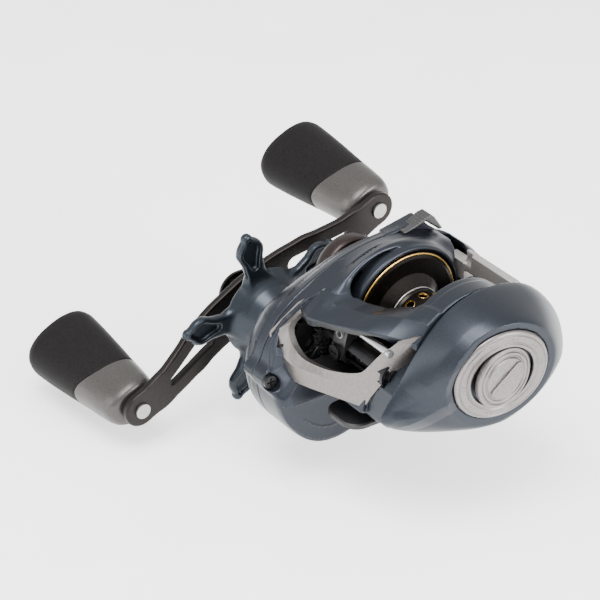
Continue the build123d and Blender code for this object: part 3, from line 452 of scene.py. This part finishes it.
def gear_cavity(X, Y, Z, side):
    """Inside of the case, kept a skin behind its front."""
    room = np.maximum(side + SKIN, band(X, -25.6, -14.4))
    room = np.minimum(room, np.maximum(circle(Y, Z, GEAR_ROOM, AY, AZ), band(X, -25.0, -17.0)))
    return np.maximum(room, np.maximum(flank(X, Z), flank(X + 1.3, Z)) + 1.0 - Y)


def casting(X, Y, Z):
    """Frame and hood together, before the line window is cut."""
    side = outline(Y, Z)
    thicker_below = 1.6 * np.clip((-Z - 12.0) / 8.0, 0, 1)
    wall = smax(side, X - WALL_X - thicker_below, 4.0)
    f = smin(wall, rod(X, Y, Z, -16.0, -10.2, 19.4, k=1.0), 2.2)
    sweep = circle(Y, Z, 22.3, -3.9, -2.0) + 0.44 * np.clip(-14.0 - X, 0, 9)
    collar = smax(smax(sweep, band(X, -24.0, -13.2), 0.9), -Z - 2.0, 2.0)
    f = smin(f, collar, 2.4)
    f = smin(f, hood_field(X, Y, Z), 3.2)
    f = smax(f, -collar_pocket(X, Y, Z), 0.5)
    f = smin(f, palm_end(X, Y, Z), 1.6)
    cradle = slab(X, np.maximum(band(Y, -15.6, 15.6), band(Z, -19.1, -9.5)), *BARS, 0.6)
    f = smin(smin(f, cradle, 1.2), under_bars(X, Y, Z), 1.2)
    f = smin(f, rod(X, Y, Z, 12.3, PALM_X, 3.0, 22.0, -2.0), 0.8)
    f = np.where((X > WALL_X) & (Z < -16), np.maximum(f, -Z - 19.1), f)

    # spool bore, line guide, thumb bar and its slots, worm, pinion bearing, gears
    f = smax(f, -np.maximum(circle(Y, Z, BORE), WALL_X - X), 0.5)
    f = smax(f, -guide_room(X, Y, Z), 0.2)
    f = smax(f, -box(X, Y, Z, (-12.8, 12.8), (18.9, 24.7), (1.5, 14.5)), 0.3)
    f = np.maximum(f, -np.maximum(circle(Y, Z, 3.9, WY, WZ), band(X, -14.4, 12.4)))
    f = np.maximum(f, -np.maximum(circle(Y, Z, 7.0), band(X, -16, -10)))
    f = smax(f, -box(X, Y, Z, (-22.1, -8.9), (18.4, 23.6), (-0.4, 14.0)), 0.4)
    f = smax(f, -box(X, Y, Z, (11.3, 15.5), (18.4, 23.6), (-2.0, 14.6)), 0.4)
    f = np.maximum(f, -gear_cavity(X, Y, Z, side))

    # ears for the cover screws, each with room for the head and a hole for the shank
    for y, z in SCREWS:
        f = smin(f, rod(X, Y, Z, -22.5, -15.2, 2.6, y, z, 0.4), 2.4)
        f = smax(f, -rod(X, Y, Z, -17.0, -5.0, 2.35, y, z, 0.2), 0.3)
        f = smax(f, -rod(X, Y, Z, -24.0, -5.0, 0.95, y, z, 0.1), 0.1)
    return smax(f, band(X, SEAM_X, PALM_X), 0.5)


# line window, seen from the front, as (x, z) points
WINDOW = [(-18.1, 7.6), (-19.6, 1.0), (-19.8, -0.6), (-18.6, -2.8), (-15.6, -7.2), (-12.0, -11.0),
          (-9.5, -11.6), (6.9, -11.2), (9.0, -8.2), (10.8, -5.0), (12.8, -1.0), (15.0, 3.3), (16.6, 11.5),
          (-16.0, 11.5)]
# front of the palm end, as (z, y) points
PALM_FRONT = [(-14, -27.2), (-12.4, -27.0), (-8.9, -26.4), (-5, -25.7), (-1, -22.9), (3.3, -18.4),
              (11, -14.6)]


def frame_field(X, Y, Z):
    """Frame with its hood, open at the line window and turned in round the trim."""
    f = casting(X, Y, Z)
    clear_of_hood = 0.7 - hood_field(X, Y, Z)
    before_flank = np.maximum(np.maximum(Y - flank(X, Z), X + 9.0), np.maximum(Z - 8.5, -16.5 - Z))
    f = smax(f, -np.maximum(before_flank, clear_of_hood) * 0.8, 0.5)
    before_palm = np.maximum(Y - on_line(Z, PALM_FRONT), 8.0 - X)
    f = smax(f, -np.maximum(before_palm, clear_of_hood), 0.4)
    window = np.maximum(polygon(X, Z, WINDOW), Y + 21.5 - 0.35 * np.clip(X - 2.0, 0, 12))
    return smax(f, -np.maximum(window, clear_of_hood), 0.4)


def dome_x(inset):
    """How far the cover reaches out, from the distance inside its edge."""
    rounding, depth = 7.0, 7.4
    t = 1 - np.clip(inset, 0, rounding) / rounding
    return -25.2 - depth * np.sqrt(np.maximum(1 - t * t, 0))


def cover_field(X, Y, Z):
    """Gear cover with its bosses for the handle, the cast control and the slider."""
    drop = 0.40 * np.clip(-23.0 - X, 0, 12) * np.clip((Z - 1.0) / 9.0, 0, 1)
    side = outline(Y, Z + drop)
    f = smax(side, dome_x(-side) - X, 0.6)
    f = smin(f, rod(X, Y, Z, -36.4, -26.0, 9.2, AY, AZ, 1.2), 1.8)
    f = smin(f, rod(X, Y, Z, -37.8, -27.0, 7.6, k=0.8), 1.4)
    slider_bed = polygon(Y, Z, [(1.4, 12.0), (2.0, 17.2), (13.2, 19.5), (18.4, 14.4), (18.4, 12.0)])
    f = smin(f, slab(X, slider_bed, -27.0, -21.0, 0.8), 1.6)
    for y, z in SCREWS:
        f = smin(f, rod(X, Y, Z, -26.4, -21.5, 1.7, y, z, 0.8), 3.0)

    # room for the gears, then the bearing and shaft holes of both bosses
    room = np.maximum(side + SKIN, dome_x(-side - SKIN) + SKIN - X)
    room = np.minimum(room, np.maximum(circle(Y, Z, GEAR_ROOM, AY, AZ), -24.0 - X))
    inner_boss = np.maximum(circle(Y, Z, 9.0), X + 27.5)
    f = np.maximum(f, -np.maximum(room, -inner_boss))
    f = np.maximum(f, -np.maximum(circle(Y, Z, 7.55, AY, AZ), band(X, -33.6, -26.4)))
    f = np.maximum(f, -circle(Y, Z, 5.45, AY, AZ))
    f = np.maximum(f, -np.maximum(circle(Y, Z, 6.5), band(X, -28.6, -19.4)))
    f = np.maximum(f, -circle(Y, Z, 2.6))
    return smax(f, X - SEAM_X + 0.03, 0.5)


# ---------------------------------------------------------------- palm plate
RING_X = 31.0                                           # ring's face on the spool axis
RING_N = np.array([0.9786, -0.1805, -0.0994])           # way the ring faces


def ring_plane(Y, Z, x):
    """X of the tilted ring's plane through a point on the spool axis."""
    return x - (RING_N[1] * Y + RING_N[2] * Z) / RING_N[0]


def crease(Y, Z, start, end, high, spread):
    """Soft-sided ridge along a line, fading at its ends."""
    run = math.dist(start, end)
    dy, dz = (end[0] - start[0]) / run, (end[1] - start[1]) / run
    along = (Y - start[0]) * dy + (Z - start[1]) * dz
    off = np.abs((Y - start[0]) * dz - (Z - start[1]) * dy)
    ends = np.clip((along + 1.0) / 4.0, 0, 1) * np.clip((run + 1.0 - along) / 4.0, 0, 1)
    return high * ends * np.maximum(1 - off / spread, 0)


def palm_height(Y, Z):
    """How far the palm plate reaches out, and the distance from its outline."""
    d = polygon(Y, Z, PALM)
    out = np.maximum(hyp(Y, Z) - 16.4, 0.0)
    inn = np.maximum(-d, 0.0)
    t = out / (out + inn + 1e-6)                         # 0 at the ring, 1 at the edge
    top = ring_plane(Y, Z, 29.9)
    edge = 17.3 + 2.6 * np.clip((Y + 26.0) / 22.0, 0, 1)

    # fall from the ring to the edge: a facet in front, rounder behind, fullest below
    bend, fall_there = 0.46, 0.30
    steep = np.maximum(t - bend, 0) / (1 - bend)
    front = np.where(t < bend, fall_there * t / bend, fall_there + (1 - fall_there) * steep ** 1.2)
    rear, under = t ** 1.45, t ** 2.6
    behind = np.clip((Y + Z * 0.3 + 6) / 14.0, 0, 1)
    below = np.clip((-Z - 8.0 - 0.35 * np.maximum(Y, 0)) / 8.0, 0, 1)
    fall = (front * (1 - behind) + rear * behind) * (1 - below) + under * below
    h = top - (top - edge) * fall
    h = h + crease(Y, Z, (-22.5, -2.4), (-9.0, 11.2), 0.9, 5.5)
    h = h + crease(Y, Z, (-26.0, -14.0), (-13.6, -4.4), 0.9, 4.5)
    return h, d


def palm_field(X, Y, Z):
    """Hollow palm plate with a seat for the ring and a hole for the dial."""
    h, d = palm_height(Y, Z)
    wall, slope = 2.6, 0.72
    f = smax((X - h) * slope, d, 1.6)
    f = smax(f, 17.06 - X, 0.25)
    f = np.maximum(f, -np.maximum(np.maximum(d + wall, (X - h + wall) * slope), X - 24.5))
    axis = (X - RING_X) * RING_N[0] + Y * RING_N[1] + Z * RING_N[2]
    away = np.sqrt(np.maximum((X - RING_X) ** 2 + Y ** 2 + Z ** 2 - axis ** 2, 0))
    f = smax(f, -np.maximum(away - 14.55, -axis - 1.35), 0.25)
    return np.maximum(f, -circle(Y, Z, 7.0))


casting_piece = carve("frame_casting", frame_field, (-22.5, -45.5, -37.5), (17.5, 32.0, 21.0), 0.40,
                      "frame", "body_blue", ["main_frame", "front_hood"])


def paint_window_shade(o):
    """Painted shade: faces inside the line window that face down, or lie low behind the trim, get the
    near-black frame_black finish in place of the blue paint.
    """
    o.data.materials.append(M["frame_black"])
    for face in o.data.polygons:
        x, y, z = face.center / MM
        z -= SPOOL_Z
        # painted shade: down-facing faces and low faces behind the trim take the dark finish
        under = face.normal.z < -0.25 or (z < 4.5 and y > -29.5 + 0.30 * x)
        inside = -20.5 < x < 8.0 and -13.2 < z < 8.6 and -34.5 < y < -13.5 and hyp(y, z) > 18.6
        if inside and under:
            face.material_index = 1


paint_window_shade(casting_piece)
carve("cover_casting", cover_field, (-38.5, -45.5, -37.5), (-21.5, 32.0, 20.5), 0.5,
      "frame", "body_blue", ["handle_side_plate"])
carve("palm_casting", palm_field, (16.5, -33.5, -22.0), (33.5, 32.5, 21.5), 0.42,
      "palm_plate", "body_blue", ["palm_side_plate"])


# ---------------------------------------------------------------- trim round the line window
def strand(points, steps=6):
    """Catmull-Rom curve through the points."""
    p = np.array(points, float)
    p = np.vstack([2 * p[0] - p[1], p, 2 * p[-1] - p[-2]])
    out = []
    for a, b, c, d in zip(p, p[1:], p[2:], p[3:]):
        for k in range(steps):
            t = k / steps
            square, cube = 2 * a - 5 * b + 4 * c - d, 3 * b - a - 3 * c + d
            out.append(0.5 * (2 * b + (c - a) * t + square * t * t + cube * t ** 3))
    out.append(p[-2])
    return np.array(out)


# the trim's section runs along these three lines, from the handle side round to the palm side
TRIM_OUTER = [(-19.5, -30.9, 7.7), (-21.3, -37.2, 1.2), (-21.5, -38.7, -0.6), (-21, -38.4, -3),
              (-17.5, -37.5, -7.5), (-13.5, -36.3, -12.3), (-9.5, -34.9, -12.9), (-3, -32.3, -12.9),
              (3, -29.9, -12.8), (7.5, -28.1, -12.4), (9.2, -27, -8.9), (11, -25.5, -5), (13, -22.3, -1),
              (15.2, -18.5, 3.3), (16.8, -15.0, 11.0)]
TRIM_RIDGE = [(-19.0, -30.5, 6.5), (-21.0, -36.9, 0.2), (-21.2, -37.9, -1.4), (-19.6, -37.8, -3.5),
              (-17.2, -37.6, -5.6), (-13.4, -36.9, -7.4), (-9.5, -35.2, -7.6), (-4, -32.5, -8.0),
              (1.5, -29.9, -8.1), (5.0, -28.5, -7.6), (7.6, -27.2, -5.0), (9.5, -26.2, -1.8),
              (12, -24.6, 2.2), (14.4, -21.5, 5.7), (16.8, -18.2, 11.0)]
TRIM_INNER = [(-17.5, -30.5, 5.9), (-17.5, -34.2, 3.8), (-17.5, -34.8, 3.2), (-17.3, -35.6, 2.0),
              (-16.5, -35.9, 0.1), (-14.6, -35.4, -3.0), (-11, -34.7, -5.0), (-5, -32.3, -5.7),
              (0, -30.2, -5.0), (3.5, -28.6, -3.9), (6.0, -27.9, -2.3), (8.0, -27.3, 0.5),
              (11.5, -26.2, 5.8), (13.3, -24.4, 8.2), (14.5, -23.2, 10.2)]


def make_trim():
    """Silver trim with a ridge, deeper on the handle side than on the palm side."""
    outer, ridge, inner = strand(TRIM_OUTER), strand(TRIM_RIDGE), strand(TRIM_INNER)
    depth = np.interp(inner[:, 0], [-6, 3], [2.0, 0.7])[:, None] * np.array([0.1, 1.0, -0.25])
    rows = np.stack([outer + np.array([0.6, 2.4, 0.9]), outer, ridge, inner, inner + depth], 1)
    n, m = rows.shape[0], rows.shape[1]
    faces = []
    for i in range(n - 1):
        for k in range(m):
            k2 = (k + 1) % m
            faces.append((i * m + k, (i + 1) * m + k, (i + 1) * m + k2, i * m + k2))
    faces.append(tuple(range(m)))
    faces.append(tuple((n - 1) * m + k for k in range(m - 1, -1, -1)))
    trim = add_mesh("window_trim", rows.reshape(-1, 3), faces, "frame", "trim_silver", ["front_trim"],
                    smooth=False)
    edges(trim, 0.35, 16, 3)


make_trim()


# ---------------------------------------------------------------- star drag
STAR_HUB = [(-50.4, 13.6), (-49.4, 13.8), (-47.5, 12.4), (-45.0, 10.4), (-42.0, 8.9), (-39.3, 8.2)]
STAR_DISH = [(-51, 10.8), (-47.5, 6.4), (-45.6, 5.7)]
STAR_ARMS, STAR_TURN = 5, radians(106.6)      # turn of one arm at rest
STAR_REACH = 29.2


def star_field(X, Y, Z):
    """Dished hub with five arms, each cupped on the side of the reel."""
    y, z = Y - AY, Z - AZ
    r = hyp(y, z)
    f = smax(r - on_line(X, STAR_HUB), band(X, -50.2, -39.4), 0.9) * 0.8
    f = smax(f, -np.maximum(r - on_line(X, STAR_DISH), X + 46.2), 0.5)
    step = 2 * pi / STAR_ARMS
    a = (np.arctan2(z, y) - STAR_TURN + step / 2) % step - step / 2
    u, v = r * np.cos(a), r * np.sin(a)
    leaf = smin(pill(u, v, (11.0, 0, 3.6), (17.0, 0, 3.1)), pill(u, v, (17.5, 0, 3.1), (22.6, 0, 4.3)), 1.2)
    leaf = smin(leaf, pill(u, v, (22.6, 0, 4.3), (26.9, 0, 1.7)), 0.6)
    arm = smax(leaf, band(X, -50.7, -47.9), 1.3)
    cup = smin(pill(u, v, (17.6, 0, 1.3), (22.4, 0, 2.9)), pill(u, v, (22.4, 0, 2.9), (25.8, 0, 0.9)), 0.4)
    arm = smax(arm, -smax(cup, -49.4 - X, 0.9), 0.5)
    f = smin(f, arm, 2.0)
    f = np.maximum(f, 3.35 - r)
    return np.maximum(f, np.maximum(-50.75 - X, X + 39.35))


carve("star_wheel", star_field, (-51.2, AY - STAR_REACH, AZ - STAR_REACH),
      (-39, AY + STAR_REACH, AZ + STAR_REACH), 0.4, "star", "star_blue", ["star_drag"])


# ---------------------------------------------------------------- crank
def crank_field(X, Y, Z):
    """Double crank, stepped towards the reel, with a slot in each arm."""
    y, z = Y - AY, Z - AZ
    s, w = y * cos(TILT) + z * sin(TILT), -y * sin(TILT) + z * cos(TILT)
    a = np.abs(s)
    t = np.clip((a - 9) / 33.0, 0, 1)
    middle = -57.6 + 5.8 * (t * t * (3 - 2 * t))
    plan = smin(pill(a, w, (POST, 0, 5.3), (38, 0, 5.2)), pill(a, w, (38, 0, 5.2), (22, 0, 7.1)), 2.0)
    plan = smin(plan, pill(a, w, (22, 0, 7.1), (0, 0, 8.6)), 1.0)
    plan = smax(plan, -pill(a, w, (17.5, 0, 2.7), (33.6, 0, 0.9)), 0.3)
    f = smax(plan, np.abs(X - middle) * 0.96 - 1.15, 0.7)
    f = np.maximum(f, 3.05 - hyp(s, w))
    return np.maximum(f, 2.02 - hyp(a - POST, w))


carve("crank_bar", crank_field, (-59.4, AY - 47.5, AZ - 26.5), (-50, AY + 47.5, AZ + 26.5), 0.42,
      "handle", "crank_dark", ["crank_arm"])


# ---------------------------------------------------------------- knobs
# place along the post, half width, half thickness
KNOB = np.array([(-97.0, 5.5, 3.8), (-96.7, 8.0, 5.5), (-96.0, 10.0, 7.0), (-94.8, 11.3, 8.0),
                 (-93.0, 11.8, 8.4), (-90.5, 11.7, 8.4), (-84.0, 11.2, 8.2), (-76.0, 10.4, 7.7),
                 (-68.0, 9.5, 7.2), (-62.0, 9.0, 6.9), (-58.0, 8.5, 6.6), (-56.0, 7.9, 6.3),
                 (-54.8, 6.9, 5.8), (-54.2, 5.6, 5.0)])
GRIP_END, HUB_END = -96.98, -54.2
GRIP_GAP = 0.12                               # between the grip and its hub
ROUNDNESS = 2.35                              # power of the knob's oval section


def knob_mesh(name, sign, x_of, body, mat, node, n=72):
    """Rings between two ends; x_of(angle, t) gives each ring's place along the post."""
    even = [0.1 + 0.83 * k / 18 for k in range(1, 19)]
    ts = [0, 0.008, 0.018, 0.03, 0.05, 0.075, 0.1] + even + [0.955, 0.98, 1.0]
    last = len(ts) - 1
    verts, faces = [], []
    for k, t in enumerate(ts):
        pinch = {last: 0.975, last - 1: 0.992}.get(k, 1.0)
        for i in range(n):
            a = 2 * pi * i / n
            x = x_of(a, t)
            half_w, half_t = (np.interp(x, KNOB[:, 0], KNOB[:, c]) for c in (1, 2))
            ca, sa = cos(a), sin(a)
            s = sign * POST + pinch * half_w * math.copysign(abs(ca) ** (2 / ROUNDNESS), ca)
            q = pinch * half_t * math.copysign(abs(sa) ** (2 / ROUNDNESS), sa)
            verts.append((x, AY + s * cos(TILT) - q * sin(TILT), AZ + s * sin(TILT) + q * cos(TILT)))
    for k in range(last):
        for i in range(n):
            j = (i + 1) % n
            faces.append((k * n + i, k * n + j, (k + 1) * n + j, (k + 1) * n + i))
    for k in (0, last):
        centre = len(verts)
        verts.append(tuple(np.mean(np.array(verts[k * n:(k + 1) * n]), 0)))
        for i in range(n):
            j = (i + 1) % n
            faces.append((k * n + i, centre, k * n + j) if k == 0 else (k * n + i, k * n + j, centre))
    add_mesh(name, np.array(verts), faces, body, mat, [node])


def parting(a, sign):
    """Slanted, curved line where the soft grip meets the hub."""
    return -67.4 + (2.3 if sign > 0 else 3.0) * cos(a) - 1.1 * cos(2 * a) - 0.8 * sin(a)


def make_knob(side, sign):
    def grip_x(a, t):
        return GRIP_END + t * (parting(a, sign) - GRIP_GAP - GRIP_END)

    def hub_x(a, t):
        return parting(a, sign) + t * (HUB_END - parting(a, sign))

    knob_mesh(side + "_grip", sign, grip_x, side + "_knob", "grip_black", side + "_knob_grip")
    knob_mesh(side + "_hub", sign, hub_x, side + "_knob", "hub_taupe", side + "_knob_hub")


make_knob("rear", 1)
make_knob("front", -1)


# ---------------------------------------------------------------- lever, thumb bar, cast knob
RIBS, RIB_STEP = 9, 0.88
RIB_LINE = [(4, 18.3), (7.4, 18.5), (10.6, 19.3), (13.8, 20.9)]


def lever_field(X, Y, Z):
    """Slider on the cover's shoulder, with grooves between its ribs."""
    top = [(6.0, 18.0), (7.6, 18.1), (10.6, 19.0), (13.8, 20.7), (15.4, 20.8), (16.8, 19.6), (19.9, 15.4),
           (18.9, 15.3), (13.6, 19.4), (6.0, 17.4)]
    f = smax(polygon(Y, Z, top) - 0.12, band(X, -24.7, -20.1), 0.6)
    for k in range(RIBS):
        y = 7.4 + RIB_STEP * k
        f = smax(f, -circle(Y, Z, 0.34, y, on_line(y, RIB_LINE)), 0.15)
    return f


carve("free_lever", lever_field, (-26.6, 1.2, 14.6), (-20.2, 20.6, 21.8), 0.22,
      "switch", "lever_grey", ["flipping_switch"])


def thumb_field(X, Y, Z):
    """Thumb bar with a notch by the pinion and a lug in each end's slot."""
    top = [(19.5, 7.2), (19.5, 12.6), (20.3, 13.4), (21.2, 13.3), (24.0, 10.3), (24.0, 8.6), (22.0, 6.3)]
    f = slab(X, polygon(Y, Z, top) + 0.3, -9.5, 11.6, 0.8) - 0.3
    f = smax(f, 18.95 - Y, 0.2)
    f = smax(f, -np.maximum(circle(Y, Z, 2.6, 17.9, 11.2), X + 6.8), 0.5)
    handle_lug = slab(X, np.maximum(band(Y, 19.1, 22.9), band(Z, 4.1, 9.5)), -16.8, -9.0, 0.3)
    palm_lug = slab(X, np.maximum(band(Y, 19.1, 22.9), band(Z, 3.1, 9.5)), 11.0, 15.0, 0.3)
    return smin(smin(f, handle_lug, 0.3), palm_lug, 0.3)


carve("thumb_rest", thumb_field, (-17, 17, 2.6), (15.2, 28.2, 14.6), 0.3,
      "clutch_bar", "thumb_grey", ["thumb_bar"])

lathe("cast_cap", [(-41.0, 0.01), (-41.0, 5.0), (-40.85, 7.6), (-40.3, 9.4), (-39.3, 10.5), (-38.0, 11.0),
                   (-35.6, 11.0), (-34.6, 10.7), (-34.4, 10.3), (-34.4, 8.5), (-39.2, 7.8), (-39.9, 6.0),
                   (-39.9, 0.01)],
      "cast_control", "cast_brown", ["cast_control_knob"])


# ---------------------------------------------------------------- ring, dial
def lean(v):
    """Tilt points with the ring, about its centre."""
    c, s = cos(radians(-10.4)), sin(radians(-10.4))
    d, e = cos(radians(5.8)), sin(radians(5.8))
    centre = np.array([RING_X, 0, 0])
    x, y, z = (v - centre).T
    x, y = x * c - y * s, x * s + y * c
    return np.stack([x * d + z * e, y, -x * e + z * d], 1) + centre


ring = lathe("trim_ring", [(29.75, 10.4), (30.2, 9.5), (30.9, 9.5), (31.12, 9.7), (31.12, 10.4),
                           (30.8, 10.55), (30.8, 10.85), (31.0, 11.0), (31.0, 12.85), (30.72, 12.95),
                           (30.72, 13.2), (30.9, 13.3), (30.6, 13.95), (30.1, 14.28), (29.75, 14.3)],
             "palm_plate", "dial_silver", ["dial_trim_ring"], n=144, lean=lean)
edges(ring, 0.08, 20, 2)


def studs(name, radius, angles, x, r, high, body, lean_it):
    """Small raised dots on a circle about the spool axis."""
    verts, faces, n = [], [], 10
    for angle in angles:
        y, z = radius * cos(angle), radius * sin(angle)
        base = len(verts)
        for rise, width in ((-0.05, 1.0), (high * 0.7, 0.7)):
            for k in range(n):
                a = 2 * pi * k / n
                verts.append((x + rise, y + width * r * cos(a), z + width * r * sin(a)))
        verts.append((x + high, y, z))
        for k in range(n):
            j = (k + 1) % n
            faces.append((base + k, base + j, base + n + j, base + n + k))
            faces.append((base + n + k, base + n + j, base + 2 * n))
    verts = np.array(verts)
    add_mesh(name, lean(verts) if lean_it else verts, faces, body, "dial_silver")


# around the ring, two dots close together and now and then one alone
PAIR, ALONE = (-0.055, 0.055), (0.0,)
ring_angles = [radians(36 * k + 8) + turn for k in range(10) for turn in (PAIR if k % 3 else ALONE)]
studs("ring_dots", 12.0, ring_angles, RING_X, 0.42, 0.24, "palm_plate", True)

dial = lathe("dial_face", [(24.0, 0.01), (24.0, 6.6), (30.4, 6.6), (30.4, 9.1), (31.7, 9.1), (32.0, 8.85),
                           (32.0, 8.2), (31.65, 8.05), (31.65, 7.75), (32.1, 7.55), (32.1, 6.9), (31.8, 6.7),
                           (31.8, 6.35), (32.3, 6.1), (32.4, 5.9), (32.4, 0.01)],
             "dial", "dial_silver", ["brake_dial"], n=120)
edges(dial, 0.07, 20, 2)
DIAL_TURN = 35                                # degrees the dial's bar is turned at rest


def dial_bar(X, Y, Z):
    """Tapered bar across the dial, sunk inside its rim."""
    a = radians(DIAL_TURN)
    u, v = Y * cos(a) + Z * sin(a), -Y * sin(a) + Z * cos(a)
    d = pill(u, v, (-5.2, 0, 0.75), (5.0, 0, 1.25))
    f = smax(d, np.abs(X - 32.6) - 0.36, 0.25)
    return smax(f, -np.maximum(d + 0.42, 32.82 - X), 0.12)


carve("dial_grip", dial_bar, (32.1, -7, -7), (33.0, 7, 7), 0.14, "dial", "dial_silver")
dial_angles = [radians(DIAL_TURN + a) for a in (40, 65, 90, 115, 140, 220, 245, 270, 295, 320)]
studs("dial_dots", 4.6, dial_angles, 32.4, 0.22, 0.12, "dial", False)

# ---------------------------------------------------------------- spool details
for side, s in (("_handle", -1), ("_palm", 1)):
    lathe("pinstripe" + side, [(s * 10.33, 17.36), (s * 10.12, 16.8), (s * 10.3, 16.75), (s * 10.5, 17.3)],
          "spool_group", "gold", n=120)
    lathe("fillet_line" + side, [(s * 6.9, 8.66), (s * 6.5, 8.42), (s * 6.35, 8.46), (s * 6.75, 8.72)],
          "spool_group", "rivet")


def hole_rings():
    """Bright chamfers at the mouths of the arbor's two rows of holes."""
    verts, faces, n = [], [], 20
    chamfer = ((1.2, 7.5), (1.24, 7.9), (1.45, 8.05), (1.5, 7.9))
    for k in range(10):
        for x, shift in ((-3.4, 0), (3.4, 0.5)):
            turn = -2 * pi * (k + shift) / 10
            base = len(verts)
            for r, h in chamfer:
                for j in range(n):
                    q = 2 * pi * j / n
                    up, side = h - (r * sin(q)) ** 2 / 16.0, r * sin(q)
                    y, z = side * cos(turn) + up * sin(turn), up * cos(turn) - side * sin(turn)
                    verts.append((x + r * cos(q), y, z))
            for i in range(len(chamfer) - 1):
                here, above = base + i * n, base + (i + 1) * n
                for j in range(n):
                    j2 = (j + 1) % n
                    faces.append((here + j, here + j2, above + j2, above + j))
    add_mesh("arbor_rings", np.array(verts), faces, "spool_group", "gold")


hole_rings()


# ---------------------------------------------------------------- lights, stage (metres)
def area(name, place, size, power):
    """Rectangular light turned towards the reel."""
    lamp = bpy.data.lights.new(name, "AREA")
    lamp.shape, lamp.size, lamp.size_y = "RECTANGLE", size[0], size[1]
    lamp.energy = power
    o = bpy.data.objects.new(name, lamp)
    bpy.context.scene.collection.objects.link(o)
    o.location = place
    o.rotation_euler = (Vector((0, 0, 0.01)) - Vector(place)).to_track_quat("-Z", "Y").to_euler()


area("key", (0.10, -0.30, 0.80), (0.45, 0.45), 11)
area("front", (-0.25, -0.80, 0.25), (0.35, 0.5), 3)
area("side", (0.75, 0.25, 0.35), (0.4, 0.4), 10)

world = bpy.data.worlds.new("w")
bpy.context.scene.world = world
world.use_nodes = True
world.node_tree.nodes["Background"].inputs["Color"].default_value = (1, 1, 1, 1)
world.node_tree.nodes["Background"].inputs["Strength"].default_value = 1.5

bpy.ops.mesh.primitive_plane_add(size=6, location=(0, 0, -0.028))
floor = bpy.context.object
floor.name = "floor"
pale = material("floor", (0.9, 0.9, 0.9), (0.95, 0.95, 0.95), 0.0, 0.7, 30, 0.0)
pale.node_tree.nodes["Principled BSDF"].inputs["Emission Color"].default_value = (1, 1, 1, 1)
pale.node_tree.nodes["Principled BSDF"].inputs["Emission Strength"].default_value = 1.0
floor.data.materials.append(pale)

# ---------------------------------------------------------------- looks of the imported pieces
# Painted shade: the worm, its tube and pawl, and the gears take the dark steel finish in place of their own,
# standing in for the shadow inside the frame.
SHADED = ("worm_tube", "worm_shaft", "worm_pawl", "levelwind_drive_gear", "main_gear")
for sub in frame["record"]["subparts"]:
    node = frame["nodes"].get(sub["node"])
    if node and node.type == "MESH" and sub["material_slot"] in M:
        finish = "steel_dark" if sub["node"] in SHADED else sub["material_slot"]
        for holder in node.material_slots:
            holder.link = "OBJECT"
            holder.material = M[finish]
